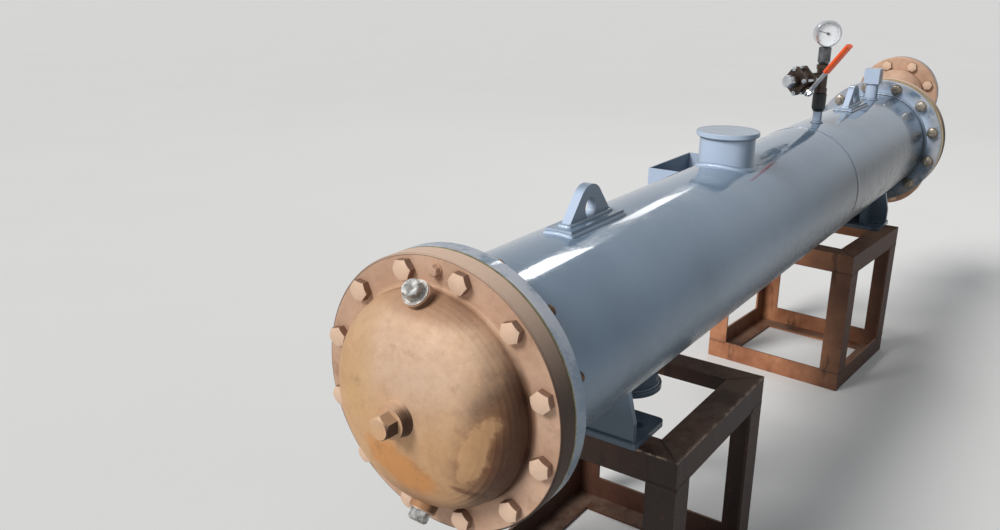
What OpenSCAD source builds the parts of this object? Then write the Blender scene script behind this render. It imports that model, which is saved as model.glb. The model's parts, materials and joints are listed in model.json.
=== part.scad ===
// Shell and tube heat exchanger on two angle iron stands.
// Millimetres. The exchanger's axis runs along X with the end cover at the -X
// end and the nozzle channel at the +X end. The origin is on the floor, under
// the centre of the whole assembly.

/* [Shell] */
// Outside diameter of the shell pipe
shell_od = 273; // [240:1:300]
// Length of the shell over its two flanges
shell_len = 2018; // [1900:1:2400]
// Outside diameter of the shell, cover and channel flanges
flange_od = 353; // [330:1:380]
// Thickness of a shell flange
shell_flange_t = 22; // [16:1:32]

/* [End cover] */
// Thickness of the cover's flange
cover_flange_t = 28; // [20:1:36]
// Diameter of a dished part at its foot
dish_d = 274; // [240:1:284]
// Depth of a dished part
dish_depth = 68; // [45:1:80]
// Squareness of a dished part's profile, 1 for an ellipse
dish_power = 0.8; // [0.6:0.05:1]
// Radius where a dished part meets its flange
dish_fillet = 6; // [2:1:8]
// Diameter of the plug boss in the middle of the cover
centre_boss_d = 42; // [30:1:50]
// Height of that boss above the dish
centre_boss_h = 13; // [8:1:30]
// Diameter of the vent boss and the drain boss
edge_boss_d = 35; // [26:1:40]
// Length of such a boss from its mouth into the casting
edge_boss_len = 45; // [40:1:55]
// Distance of its mouth in front of the flange
edge_boss_x = 31; // [24:1:40]
// Distance of its mouth from the axis
edge_boss_reach = 140; // [130:1:150]
// Angle between such a boss and the axis
edge_boss_tilt = 45; // [30:1:60]

/* [Plugs] */
// Width across flats of the centre plug
centre_plug_af = 27; // [20:1:32]
// Height of the centre plug's head
centre_plug_h = 18; // [10:1:30]
// Width across flats of the vent and drain plugs
edge_plug_af = 22; // [16:1:26]
// Height of the head of a vent or drain plug
edge_plug_h = 13; // [8:1:20]
// Thickness of the sealing washer under a plug
plug_washer_t = 2; // [1:0.5:4]
// Diameter of that washer over the plug's width across flats
plug_washer_ratio = 1.5; // [1.2:0.05:1.55]

/* [Gaskets and tubesheet] */
// Thickness of a gasket
gasket_t = 2; // [1:0.5:4]
// Inside diameter of the flange gaskets
gasket_id = 250; // [200:1:260]
// Thickness of the tubesheet
tubesheet_t = 25; // [18:1:40]

/* [Channel] */
// Thickness of the channel's flange
channel_flange_t = 28; // [20:1:36]
// Length of the channel's straight part behind its flange
channel_straight = 24; // [10:1:60]
// Distance of a channel nozzle from the axis
nozzle_offset = 114; // [113.5:0.5:120]
// Distance from the channel's flange to the hub side of the nozzle flanges
nozzle_reach = 118; // [90:1:160]
// Diameter of the hub behind a nozzle flange
nozzle_hub_d = 156; // [110:1:164]
// Length of that hub
nozzle_hub_len = 25; // [15:1:35]
// Outside diameter of a nozzle flange
nozzle_flange_od = 226; // [200:1:226]
// Thickness of a nozzle flange
nozzle_flange_t = 22; // [16:1:30]
// Thickness of the plate that blanks a nozzle
blank_t = 12; // [8:1:24]
// Width of the ring inside the bolts that a nozzle gasket leaves free
nozzle_gasket_inset = 28; // [20:1:36]

/* [Shell side nozzles] */
// Outside diameter of a shell nozzle's pipe
neck_od = 102; // [80:1:108]
// Diameter of the plate that closes it
cap_d = 116; // [110:1:140]
// Thickness of that plate
cap_t = 9; // [6:1:16]
// Distance from the axis to the outer face of the top nozzle's plate
top_cap_reach = 196; // [170:1:230]
// Clearance from the bottom nozzle's plate to the level of the saddles' feet
bottom_cap_gap = 23; // [10:1:30]
// Distance of the top nozzle from the shell's front end
top_nozzle_x = 832; // [600:1:1000]
// Distance of the bottom nozzle from the front saddle's web
bottom_nozzle_off = 155; // [140:1:220]

/* [Lifting lugs] */
// Distance of the front lug from the shell's front end
front_lug_x = 312; // [250:1:400]
// Distance of the rear lug from the shell's rear end
rear_lug_back = 333; // [250:1:400]
// Length of the pad plate under a lug
pad_len = 150; // [130:1:300]
// Width of that pad plate
pad_w = 42; // [30:1:90]
// Thickness of the pad plate on the shell's crown
pad_t = 6.5; // [5:0.5:14]
// Thickness of a lug
lug_t = 14; // [10:1:25]
// Width of a lug at its foot
lug_w = 118; // [90:1:160]
// Radius of a lug's rounded top
lug_r = 34; // [24:1:36]
// Radius of the lifting hole
eye_r = 15; // [8:1:18]
// Distance from the axis to the centre of the lifting hole
eye_reach = 160; // [155:1:190]

/* [Nameplate bracket] */
// Distance of the bracket from the shell's front end
bracket_x = 870; // [820:1:960]
// Length of the bracket
bracket_len = 198; // [120:1:240]
// Height of the bracket
bracket_h = 100; // [60:1:120]
// Height of its upper edge over the axis
bracket_top = 95; // [70:1:100]
// Distance from the axis to its outer face
bracket_reach = 177; // [160:1:178]
// Thickness of the bracket's sheet
bracket_t = 3; // [2:0.5:5]

/* [Relief connection] */
// Distance of the square block from the shell's rear end
block_back = 138; // [120:1:170]
// Side of the square block
block_w = 40; // [35:1:60]
// Height of the square block
block_h = 40; // [30:1:80]
// Distance from the axis to the block's lower face
block_reach = 180; // [160:1:190]
// Diameter of the stub under the block
block_stub_d = 33; // [24:1:34]

/* [Gauge and drain valve] */
// Distance of the gauge connection from the shell's rear end
gauge_back = 628; // [560:1:700]
// Diameter of the welded stub
stub_d = 21; // [16:1:28]
// Distance from the axis to the top of the stub
stub_reach = 163; // [155:1:180]
// Diameter of the coupling
coupling_d = 31; // [28:1:36]
// Length of the coupling
coupling_len = 44; // [30:1:60]
// Diameter of the tee's run and branch
tee_d = 25; // [22:1:28]
// Length of the tee's run, its branch in the middle
tee_len = 64; // [56:1:70]
// Diameter of the adapter under the gauge
adapter_d = 28; // [24:1:32]
// Length of the adapter
adapter_len = 40; // [30:1:50]
// Diameter of the gauge's case
gauge_d = 60; // [50:1:80]
// Depth of the gauge's case
gauge_depth = 30; // [24:1:40]
// Direction in which the dial faces in plan, from +X
gauge_angle = 212; // [190:1:240]
// Direction of the tee's branch in plan, from +X
branch_angle = 158; // [140:1:170]
// Distance from the tee's axis to the middle of the valve
valve_out = 76; // [70:1:90]
// Side of the valve's square end plates
valve_plate_w = 52; // [44:1:54]
// Diameter of the valve's middle
valve_d = 44; // [32:1:46]
// Width across flats of the valve's end plug
valve_plug_af = 25; // [20:1:30]
// Angle by which the valve's stem leans down from the level
valve_roll = 40; // [0:1:60]

/* [Lever] */
// Distance from the valve's axis to the lever's plane
lever_out = 37; // [36:1:60]
// Length of the lever from its pivot
lever_len = 142; // [110:1:150]
// Width of the lever's blade
lever_w = 14; // [11:1:16]
// Thickness of the lever's blade
lever_t = 3; // [2:0.5:5]
// Angle between the lever and the branch as built, 90 for shut
lever_angle = 90; // [0:1:90]
// Radius of the valve stem
stem_r = 5; // [3.5:0.5:6]
// Radial running clearance of the stem in its boss
stem_gap = 0.05; // [0.01:0.01:0.1]
// Distance from the pivot to the sleeve
sleeve_in = 64; // [40:1:80]
// Width of the lever's sleeve
sleeve_w = 20; // [18:1:24]
// Thickness of the lever's sleeve
sleeve_t = 9; // [6:1:10]

/* [Saddles] */
// Height of the exchanger's axis over the saddles' feet
saddle_drop = 205; // [190:1:230]
// Distance of the front saddle's web from the shell's front end
front_saddle_x = 315; // [313:1:330]
// Distance of the rear saddle's web from the shell's rear end
rear_saddle_back = 157; // [150:1:170]
// Length of a saddle's base plate along the shell
saddle_len = 102; // [90:1:115]
// Width of a saddle's base plate across the shell
saddle_w = 194; // [180:1:210]
// Thickness of a saddle's base plate
saddle_base_t = 10; // [6:1:14]
// Thickness of a saddle's web and ribs
saddle_web_t = 10; // [6:1:14]
// Height of the web's upright ends
saddle_end_h = 32; // [20:1:50]
// Distance by which the web's ends stand back from the base plate's
web_inset = 4; // [0:1:10]
// Half of the shell's arc that the web reaches round
seat_angle = 36; // [28:1:42]
// Distance between a saddle's two ribs
rib_pitch = 84; // [60:1:110]
// Distance from the web's outer face to the ribs' ends
rib_len = 80; // [50:1:85]
// Radius of the base plate's corners
saddle_corner_r = 10; // [4:1:20]
// Distance between a saddle's two bolt holes
saddle_hole_pitch = 144; // [130:1:150]
// Radius of a saddle's bolt hole
saddle_hole_r = 9; // [6:0.5:12]
// Distance of the bolt holes from the web's outer face
saddle_hole_x = 58; // [40:1:80]

/* [Stands] */
// Height of a stand
stand_h = 373; // [300:1:450]
// Length of a stand along the shell
stand_len = 360; // [340:1:380]
// Width of a stand across the shell
stand_w = 370; // [340:1:400]
// Width of the angle iron's legs
angle_w = 50; // [40:1:60]
// Thickness of the angle iron
angle_t = 5; // [4:1:8]
// Distance of the front stand's near corner from the shell's front end
front_stand_x = 322; // [300:1:330]
// Place of the front stand's near corner across the shell
front_stand_y = -164; // [-190:1:-140]
// Distance of the rear stand's near corner from the shell's rear end
rear_stand_back = 533; // [515:1:545]
// Place of the rear stand's near corner across the shell
rear_stand_y = -105; // [-150:1:-100]
// Angle by which the rear stand stands askew
rear_stand_turn = 4; // [0:0.5:6]

/* [Hidden] */

$fn = 96;
eps = 0.01;

// Colours of the paint, the castings and the fittings
paint = "#8293a3";
bronze = "#b08a68";
oxide = "#7a4a32";
black = "#26272a";
zinc = "#c9ccd0";

shell_r = shell_od / 2;
flange_r = flange_od / 2;
dish_r = dish_d / 2;
axis_h = stand_h + saddle_drop;

// Places along the exchanger, counted from the shell's front end
cover_back_x = -gasket_t;
cover_face_x = cover_back_x - cover_flange_t;
centre_boss_x = cover_face_x - dish_depth - centre_boss_h;
tubesheet_x = shell_len + gasket_t;
channel_x = tubesheet_x + tubesheet_t + gasket_t;
channel_back_x = channel_x + channel_flange_t;
nozzle_flange_x = channel_back_x + nozzle_reach;
nozzle_gasket_x = nozzle_flange_x + nozzle_flange_t;
blank_x = nozzle_gasket_x + gasket_t;
bottom_nozzle_x = front_saddle_x + bottom_nozzle_off;
rear_lug_x = shell_len - rear_lug_back;
block_x = shell_len - block_back;
gauge_x = shell_len - gauge_back;
rear_saddle_x = shell_len - rear_saddle_back;
rear_stand_x = shell_len - rear_stand_back;
front_end_x = centre_boss_x - plug_washer_t - centre_plug_h;
rear_end_x = blank_x + blank_t;

// The plan's outermost sides, for the centre of the assembly
rear_stand_low = rear_stand_y - stand_len * sin(rear_stand_turn);
rear_stand_high = rear_stand_y + stand_w * cos(rear_stand_turn);
side_low = min(-flange_r, front_stand_y, rear_stand_low);
side_high = max(flange_r, bracket_reach, front_stand_y + stand_w, rear_stand_high);
mid_x = (front_end_x + rear_end_x) / 2;
mid_y = (side_low + side_high) / 2;

// Depth to which welded pieces reach into the shell before they are cut to it
weld_root_r = shell_r * 0.9;
bottom_cap_reach = saddle_drop - bottom_cap_gap;

// Stations of the gauge stack above the axis
coupling_top = stub_reach + coupling_len;
branch_reach = coupling_top + tee_len / 2;
tee_top = coupling_top + tee_len;
case_foot = tee_top + adapter_len;
gauge_reach = case_foot + gauge_d / 2;

// The gauge's case, from its back to its rim
bezel_depth = 8;
bezel_lip = 3.5;
bezel_out = 1.5;
case_back_t = gauge_depth - bezel_depth;
dial_t = 1;
glass_t = 1.5;
glass_down = 1;

// Stations of the valve along the branch, from the tee's axis
plate_t = 7;
valve_middle_len = 20;
valve_end_len = 13;
valve_plug_h = 17;
valve_half = valve_middle_len / 2 + plate_t + valve_end_len;
valve_near = valve_out - valve_half;
valve_far = valve_out + valve_half;

// The valve's stem, from the branch outwards
stem_boss_r = 9;
stem_boss_top_gap = 3;
stem_boss_out = lever_out - lever_t / 2 - stem_boss_top_gap;
stem_in = 12;
stem_nut_h = 6;
stem_nut_af = 14;

// Puts what is drawn on the exchanger's axis, from the shell's front end, in its place
module on_axis() {
    translate([-mid_x, -mid_y, axis_h]) children();
}

// Puts what is drawn on the floor, from under the shell's front end, in its place
module on_floor() {
    translate([-mid_x, -mid_y, 0]) children();
}

// Turns what is drawn along +Z to +X, at a distance x from the shell's front end
module facing_rear(x) {
    translate([x, 0, 0]) rotate([0, 90, 0]) children();
}

// Turns what is drawn along +Z to -X
module facing_front(x) {
    translate([x, 0, 0]) rotate([0, -90, 0]) children();
}

// The space that the shell pipe takes, for cutting what is welded to it
module shell_space() {
    facing_rear(-1) cylinder(r = shell_r, h = shell_len + 2);
}

// A disc with both rims broken
module rimmed_disc(r, t, rim = 1.5) {
    rotate_extrude()
        polygon([[0, 0], [r - rim, 0], [r, rim], [r, t - rim], [r - rim, t], [0, t]]);
}

// A ring with both outer rims broken
module rimmed_ring(r, bore_r, t, rim = 1.5) {
    rotate_extrude()
        polygon([[bore_r, 0], [r - rim, 0], [r, rim], [r, t - rim], [r - rim, t], [bore_r, t]]);
}

// A hexagonal bar, its width across flats given
module hex_bar(af, h) {
    cylinder(r = af / sqrt(3), h = h, $fn = 6);
}

// A hexagon head, its corners turned off on the outer side
module hex_head(af, h, shoulder = 0.72, face = 0.92) {
    outside = af / sqrt(3) + 1;
    intersection() {
        hex_bar(af, h);
        rotate_extrude()
            polygon([[0, 0], [outside, 0], [outside, h * shoulder], [af / 2 * face, h], [0, h]]);
    }
}

// A plug: washer and hexagon head
module plug(af, h) {
    cylinder(d = af * plug_washer_ratio, h = plug_washer_t);
    translate([0, 0, plug_washer_t]) hex_head(af, h);
}

// A dished end's profile, from its foot at radius r to its crown at height h
function dish_points(r, h, n = 16) =
    [for (i = [0 : n]) [r * pow(cos(90 * i / n), dish_power), h * pow(sin(90 * i / n), dish_power)]];

// Hollow quarter round of radius f between a level face and an upright at radius r
function fillet_points(r, f, n = 4) =
    [for (i = [0 : n]) [r + f - f * sin(90 * i / n), f - f * cos(90 * i / n)]];

// Flange and dished end in one casting, the flange's outer face at height 0
module dished_flange(flange_t, foot_h, rim = 2) {
    rotate_extrude()
        polygon(concat(
            [[0, -flange_t], [flange_r - rim, -flange_t], [flange_r, rim - flange_t],
             [flange_r, -rim], [flange_r - rim, 0]],
            fillet_points(dish_r, dish_fillet),
            [for (p = dish_points(dish_r, dish_depth)) [p[0], p[1] + foot_h]]));
}

module shell() {
    color(paint) on_axis()
        facing_rear(0) cylinder(r = shell_r, h = shell_len);
}

module front_shell_flange() {
    color(paint) on_axis()
        facing_rear(0) rimmed_ring(flange_r, shell_r, shell_flange_t);
}

module rear_shell_flange() {
    color(paint) on_axis()
        facing_rear(shell_len - shell_flange_t) rimmed_ring(flange_r, shell_r, shell_flange_t);
}

module flange_gasket(x) {
    color("#6b6a3c") on_axis()
        facing_rear(x) rimmed_ring(flange_r, gasket_id / 2, gasket_t, gasket_t / 10);
}

module front_gasket() {
    flange_gasket(-gasket_t);
}

// Draws along the vent boss (side 1) or the drain boss (side -1), from its mouth
module at_edge_boss(side) {
    translate([cover_face_x - edge_boss_x, 0, side * edge_boss_reach])
        rotate([0, side * edge_boss_tilt - 90, 0]) children();
}

// Boss for the centre plug, its foot flaring into the dish
module centre_boss() {
    r = centre_boss_d / 2;
    flare = 8;
    draft = 2;
    rotate_extrude()
        polygon([[0, -flare * 1.5], [r + flare, -flare * 1.5], [r + draft, -1], [r, flare / 2],
                 [r - draft / 2, centre_boss_h - 1], [r - draft, centre_boss_h], [0, centre_boss_h]]);
}

module end_cover() {
    color(bronze) on_axis() {
        facing_front(cover_face_x) dished_flange(cover_flange_t, 0);
        facing_front(cover_face_x - dish_depth) centre_boss();
        for (side = [-1, 1])
            at_edge_boss(side) translate([0, 0, -edge_boss_len])
                cylinder(d = edge_boss_d, h = edge_boss_len);
    }
}

module cover_plug() {
    color(bronze) on_axis()
        facing_front(centre_boss_x) plug(centre_plug_af, centre_plug_h);
}

module vent_plug() {
    color(zinc) on_axis()
        at_edge_boss(1) plug(edge_plug_af, edge_plug_h);
}

module drain_plug() {
    color(zinc) on_axis()
        at_edge_boss(-1) plug(edge_plug_af, edge_plug_h);
}

module tubesheet_gaskets() {
    flange_gasket(shell_len);
    flange_gasket(tubesheet_x + tubesheet_t);
}

module tubesheet() {
    color("#b39a5c") on_axis()
        facing_rear(tubesheet_x) rimmed_disc(flange_r, tubesheet_t);
}

// Nozzle flange with the neck that swells out of the channel towards it
module channel_nozzle() {
    foot_r = dish_r * 0.72;
    foot_up = (dish_r - foot_r) * 0.8;
    foot_x = channel_back_x + channel_straight - dish_fillet;
    slice = 2;
    hub_x = nozzle_flange_x - nozzle_hub_len;
    hull() {
        translate([0, 0, foot_up]) facing_rear(foot_x)
            cylinder(r = foot_r, h = slice, $fn = 64);
        translate([0, 0, nozzle_offset]) facing_rear(hub_x - 1)
            cylinder(d = nozzle_hub_d, h = slice, $fn = 64);
    }
    translate([0, 0, nozzle_offset]) {
        facing_rear(hub_x) cylinder(d = nozzle_hub_d, h = nozzle_hub_len + 1);
        facing_rear(nozzle_flange_x) rimmed_disc(nozzle_flange_od / 2, nozzle_flange_t);
    }
}

module channel() {
    color(bronze) on_axis() {
        facing_rear(channel_back_x) dished_flange(channel_flange_t, channel_straight + dish_fillet);
        channel_nozzle();
        mirror([0, 0, 1]) channel_nozzle();
    }
}

module nozzle_gaskets() {
    color("#3a3a34") on_axis()
        for (side = [-1, 1])
            translate([0, 0, side * nozzle_offset]) facing_rear(nozzle_gasket_x)
                cylinder(d = nozzle_flange_od - 2 * nozzle_gasket_inset, h = gasket_t);
}

module blank_flange(side) {
    color("#8b9096") on_axis()
        translate([0, 0, side * nozzle_offset]) facing_rear(blank_x)
            rimmed_disc(nozzle_flange_od / 2, blank_t, 1);
}

module upper_blank_flange() {
    blank_flange(1);
}

module lower_blank_flange() {
    blank_flange(-1);
}

// Pipe stub welded to the shell, up for side 1 and down for -1, ending at reach from the axis
module shell_stub(x, side, d, reach) {
    color(paint) on_axis() difference() {
        translate([x, 0, 0]) scale([1, 1, side]) cylinder(d = d, h = reach);
        shell_space();
    }
}

// Plate that closes a shell nozzle, its outer face at reach from the axis
module shell_nozzle_cap(x, side, reach) {
    color(paint) on_axis()
        translate([x, 0, 0]) scale([1, 1, side])
            translate([0, 0, reach - cap_t]) rimmed_disc(cap_d / 2, cap_t, 1);
}

module top_nozzle_neck() {
    shell_stub(top_nozzle_x, 1, neck_od, top_cap_reach - cap_t);
}

module top_nozzle_cap() {
    shell_nozzle_cap(top_nozzle_x, 1, top_cap_reach);
}

module bottom_nozzle_neck() {
    shell_stub(bottom_nozzle_x, -1, neck_od, bottom_cap_reach - cap_t);
}

module bottom_nozzle_cap() {
    shell_nozzle_cap(bottom_nozzle_x, -1, bottom_cap_reach);
}

module lug_pad(x) {
    color(paint) on_axis() difference() {
        translate([x - pad_len / 2, -pad_w / 2, weld_root_r])
            cube([pad_len, pad_w, shell_r + pad_t - weld_root_r]);
        shell_space();
    }
}

module front_lug_pad() {
    lug_pad(front_lug_x);
}

module rear_lug_pad() {
    lug_pad(rear_lug_x);
}

// Lug outline: straight sides that run from the foot's corners onto the round top
module lifting_lug(x) {
    foot = shell_r + pad_t;
    rise = eye_reach - foot;
    half = lug_w / 2;
    reach = sqrt(half * half + rise * rise);
    // Angle of the point where a straight side touches the round top
    touch = acos(lug_r / reach) - atan2(rise, half);
    color(paint) on_axis()
        translate([x, lug_t / 2, foot]) rotate([90, 0, 0]) linear_extrude(lug_t)
            difference() {
                union() {
                    polygon([[-half, 0], [half, 0],
                             [lug_r * cos(touch), rise + lug_r * sin(touch)],
                             [0, rise],
                             [-lug_r * cos(touch), rise + lug_r * sin(touch)]]);
                    intersection() {
                        translate([0, rise]) circle(r = lug_r);
                        translate([-half, 0]) square([lug_w, rise + lug_r + 1]);
                    }
                }
                translate([0, rise]) circle(r = eye_r);
            }
}

module front_lifting_lug() {
    lifting_lug(front_lug_x);
}

module rear_lifting_lug() {
    lifting_lug(rear_lug_x);
}

// Sheet folded to a U: the plate stands off the shell on its two ends
module nameplate_bracket() {
    low = bracket_top - bracket_h;
    // The ends start a little inside the shell at the upper edge, where it is narrowest
    foot_y = sqrt(shell_r * shell_r - bracket_top * bracket_top) - 1;
    color(paint) on_axis() difference() {
        translate([bracket_x, foot_y, low]) cube([bracket_len, bracket_reach - foot_y, bracket_h]);
        translate([bracket_x + bracket_t, foot_y - 1, low - 1])
            cube([bracket_len - 2 * bracket_t, bracket_reach - foot_y + 1 - bracket_t, bracket_h + 2]);
        shell_space();
    }
}

module relief_stub() {
    shell_stub(block_x, 1, block_stub_d, block_reach);
}

module relief_block() {
    color(paint) on_axis()
        translate([block_x - block_w / 2, -block_w / 2, block_reach])
            cube([block_w, block_w, block_h]);
}

module gauge_stub() {
    shell_stub(gauge_x, 1, stub_d, stub_reach);
}

// Draws upwards along the gauge connection, from a height over the axis
module on_stack(up) {
    on_axis() translate([gauge_x, 0, up]) children();
}

// Socket that narrows at its lower end to the stub
module gauge_coupling() {
    chamfer = 3;
    taper = 8;
    color(black) on_stack(stub_reach) rotate_extrude()
        polygon([[0, 0], [stub_d / 2 + 1, 0], [coupling_d / 2, taper],
                 [coupling_d / 2, coupling_len - chamfer],
                 [coupling_d / 2 - chamfer, coupling_len], [0, coupling_len]]);
}

module gauge_tee() {
    collar_d = tee_d + 4;
    collar_h = 10;
    branch_collar_out = 28;
    color(black) {
        on_stack(coupling_top) {
            cylinder(d = tee_d, h = tee_len);
            cylinder(d = collar_d, h = collar_h);
            translate([0, 0, tee_len - collar_h]) cylinder(d = collar_d, h = collar_h);
        }
        on_branch() {
            cylinder(d = tee_d, h = valve_near);
            translate([0, 0, branch_collar_out - collar_h]) cylinder(d = collar_d, h = collar_h);
        }
    }
}

// Round adapter between the tee and the gauge, narrower at its foot
module gauge_adapter() {
    foot_d = 20;
    taper = 7;
    rim = 2;
    color(black) on_stack(tee_top) rotate_extrude()
        polygon([[0, 0], [foot_d / 2, 0], [adapter_d / 2, taper], [adapter_d / 2, adapter_len - rim],
                 [adapter_d / 2 - rim, adapter_len], [0, adapter_len]]);
}

// Draws along the dial's facing direction, from the back of the case
module at_gauge() {
    on_stack(gauge_reach) rotate([0, 90, gauge_angle])
        translate([0, 0, -gauge_depth / 2]) children();
}

module gauge_case() {
    r = gauge_d / 2;
    barrel_r = r - bezel_out;
    round = 4;
    socket_d = 14;
    socket_up = 6;
    color("#b9bcc0") {
        at_gauge() rotate_extrude()
            polygon([[0, 0], [barrel_r - round, 0], [barrel_r, round], [barrel_r, case_back_t],
                     [r, case_back_t + 1], [r, gauge_depth - bezel_out], [barrel_r, gauge_depth],
                     [r - bezel_lip, gauge_depth], [r - bezel_lip, case_back_t], [0, case_back_t]]);
        on_stack(case_foot) cylinder(d = socket_d, h = socket_up);
    }
}

module gauge_dial() {
    color("white")
        at_gauge() translate([0, 0, case_back_t]) cylinder(r = gauge_d / 2 - bezel_lip, h = dial_t);
}

module gauge_glass() {
    color("#dfe8ee")
        at_gauge() translate([0, 0, gauge_depth - glass_down - glass_t])
            cylinder(r = gauge_d / 2 - bezel_lip, h = glass_t);
}

// Draws along the branch, from the tee's axis: local +Y is level
module on_branch() {
    on_stack(branch_reach) rotate([0, 0, branch_angle]) rotate([0, 90, 0]) children();
}

// The same, turned about the branch so that local +Y is the stem's direction
module on_valve() {
    on_branch() rotate([0, 0, -valve_roll]) children();
}

// Draws along the stem, from the valve's middle: local +X runs along the branch to the plug
module on_stem() {
    on_valve() translate([0, 0, valve_out]) rotate([-90, 0, 0]) rotate([0, 0, -90]) children();
}

// Square end plate of the valve with clipped corners
module valve_plate() {
    clip_d = valve_plate_w * 1.24;
    intersection() {
        translate([-valve_plate_w / 2, -valve_plate_w / 2, 0])
            cube([valve_plate_w, valve_plate_w, plate_t]);
        cylinder(d = clip_d, h = plate_t);
    }
}

// Half of the valve's body: from its middle to one end along +Z
module valve_half_body() {
    end_r = valve_plug_af * 0.62;
    cylinder(d = valve_d, h = valve_middle_len / 2);
    translate([0, 0, valve_middle_len / 2]) valve_plate();
    translate([0, 0, valve_middle_len / 2 + plate_t]) cylinder(r = end_r, h = valve_end_len, $fn = 8);
}

module valve_body() {
    color(black) difference() {
        union() {
            on_valve() translate([0, 0, valve_out]) {
                valve_half_body();
                mirror([0, 0, 1]) valve_half_body();
            }
            on_stem() cylinder(r = stem_boss_r, h = stem_boss_out);
        }
        on_stem() translate([0, 0, stem_in - 1])
            cylinder(r = stem_r + stem_gap, h = stem_boss_out);
    }
}

module valve_plug() {
    color(zinc)
        on_valve() translate([0, 0, valve_far]) hex_head(valve_plug_af, valve_plug_h);
}

module valve_stem() {
    lever_top = lever_out + lever_t / 2;
    color(zinc) on_stem() {
        translate([0, 0, stem_in]) cylinder(r = stem_r, h = lever_top + stem_nut_h - stem_in);
        translate([0, 0, lever_top]) hex_bar(stem_nut_af, stem_nut_h - 1);
    }
}

// Draws along the lever, from the pivot in the lever's plane
module along_lever() {
    on_stem() rotate([0, 0, -lever_angle]) translate([0, 0, lever_out]) children();
}

// Lever's blade, a flat bar with round ends
module valve_lever() {
    eye_rim = 6;
    color("#b9bcc0") along_lever() translate([0, 0, -lever_t / 2]) difference() {
        linear_extrude(lever_t) {
            circle(r = stem_r + eye_rim);
            translate([0, -lever_w / 2]) square([lever_len - lever_w / 2, lever_w]);
            translate([lever_len - lever_w / 2, 0]) circle(d = lever_w);
        }
        translate([0, 0, -1]) cylinder(r = stem_r, h = lever_t + 2);
    }
}

// Sleeve drawn over the blade
module lever_sleeve() {
    wall = 2;
    core_w = sleeve_w - sleeve_t;
    color("#e4612c") along_lever() difference() {
        translate([sleeve_in, 0, 0]) rotate([0, 90, 0])
            linear_extrude(lever_len + wall - sleeve_in) {
                square([sleeve_t, core_w], center = true);
                for (side = [-1, 1])
                    translate([0, side * core_w / 2]) circle(d = sleeve_t, $fn = 32);
            }
        translate([0, -lever_w / 2, -lever_t / 2]) cube([lever_len + eps, lever_w, lever_t]);
    }
}

// Base plate of a saddle, its web at x and the plate running towards dir
module saddle_base(x, dir) {
    r = saddle_corner_r;
    color(paint) on_axis() translate([x, 0, -saddle_drop]) scale([dir, 1, 1]) difference() {
        union() {
            translate([0, -saddle_w / 2, 0]) cube([saddle_len - r, saddle_w, saddle_base_t]);
            translate([0, -saddle_w / 2 + r, 0])
                cube([saddle_len, saddle_w - 2 * r, saddle_base_t]);
            for (side = [-1, 1])
                translate([saddle_len - r, side * (saddle_w / 2 - r), 0])
                    cylinder(r = r, h = saddle_base_t);
        }
        for (side = [-1, 1])
            translate([saddle_hole_x, side * saddle_hole_pitch / 2, -1])
                cylinder(r = saddle_hole_r, h = saddle_base_t + 2);
    }
}

// Web across the shell with two ribs behind it, all cut to the shell's curve
module saddle(x, dir) {
    foot = saddle_base_t - saddle_drop;
    half = saddle_w / 2 - web_inset;
    seat_half = shell_r * sin(seat_angle);
    seat_up = -shell_r * cos(seat_angle);
    color(paint) on_axis() difference() {
        translate([x, 0, 0]) scale([dir, 1, 1]) {
            rotate([90, 0, 90]) linear_extrude(saddle_web_t)
                polygon([[-half, foot], [half, foot], [half, foot + saddle_end_h],
                         [seat_half, seat_up], [0, 1 - weld_root_r], [-seat_half, seat_up],
                         [-half, foot + saddle_end_h]]);
            for (side = [-1, 1])
                translate([saddle_web_t - eps, side * rib_pitch / 2 - saddle_web_t / 2, foot])
                    cube([rib_len - saddle_web_t, saddle_web_t, -foot - weld_root_r]);
        }
        shell_space();
    }
}

module front_saddle_base() {
    saddle_base(front_saddle_x, 1);
}

module front_saddle() {
    saddle(front_saddle_x, 1);
}

module rear_saddle_base() {
    saddle_base(rear_saddle_x, -1);
}

module rear_saddle() {
    saddle(rear_saddle_x, -1);
}

// Rectangular ring of angle iron: a level flange over z, the upright flange outside
module angle_ring(flange_z, upright_z) {
    translate([0, 0, flange_z]) difference() {
        cube([stand_len, stand_w, angle_t]);
        translate([angle_w, angle_w, -1])
            cube([stand_len - 2 * angle_w, stand_w - 2 * angle_w, angle_t + 2]);
    }
    translate([0, 0, upright_z]) difference() {
        cube([stand_len, stand_w, angle_w - angle_t]);
        translate([angle_t, angle_t, -1])
            cube([stand_len - 2 * angle_t, stand_w - 2 * angle_t, angle_w - angle_t + 2]);
    }
}

// Puts what is drawn from the front stand's near corner in its place
module at_front_stand() {
    color(oxide) on_floor() translate([front_stand_x, front_stand_y, 0]) children();
}

// Puts what is drawn from the rear stand's near corner in its place
module at_rear_stand() {
    color(oxide) on_floor() translate([rear_stand_x, rear_stand_y, 0])
        rotate([0, 0, -rear_stand_turn]) children();
}

module stand_top() {
    angle_ring(stand_h - angle_t, stand_h - angle_w);
}

module stand_foot() {
    angle_ring(0, angle_t);
}

// Four angle iron legs, each with its heel at a corner of the stand
module stand_legs() {
    leg_h = stand_h - 2 * angle_w;
    translate([stand_len / 2, stand_w / 2, angle_w])
        for (sx = [-1, 1], sy = [-1, 1])
            scale([sx, sy, 1]) translate([-stand_len / 2, -stand_w / 2, 0]) {
                cube([angle_w, angle_t, leg_h]);
                cube([angle_t, angle_w, leg_h]);
            }
}

module front_stand_top() {
    at_front_stand() stand_top();
}

module front_stand_legs() {
    at_front_stand() stand_legs();
}

module front_stand_foot() {
    at_front_stand() stand_foot();
}

module rear_stand_top() {
    at_rear_stand() stand_top();
}

module rear_stand_legs() {
    at_rear_stand() stand_legs();
}

module rear_stand_foot() {
    at_rear_stand() stand_foot();
}

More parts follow.
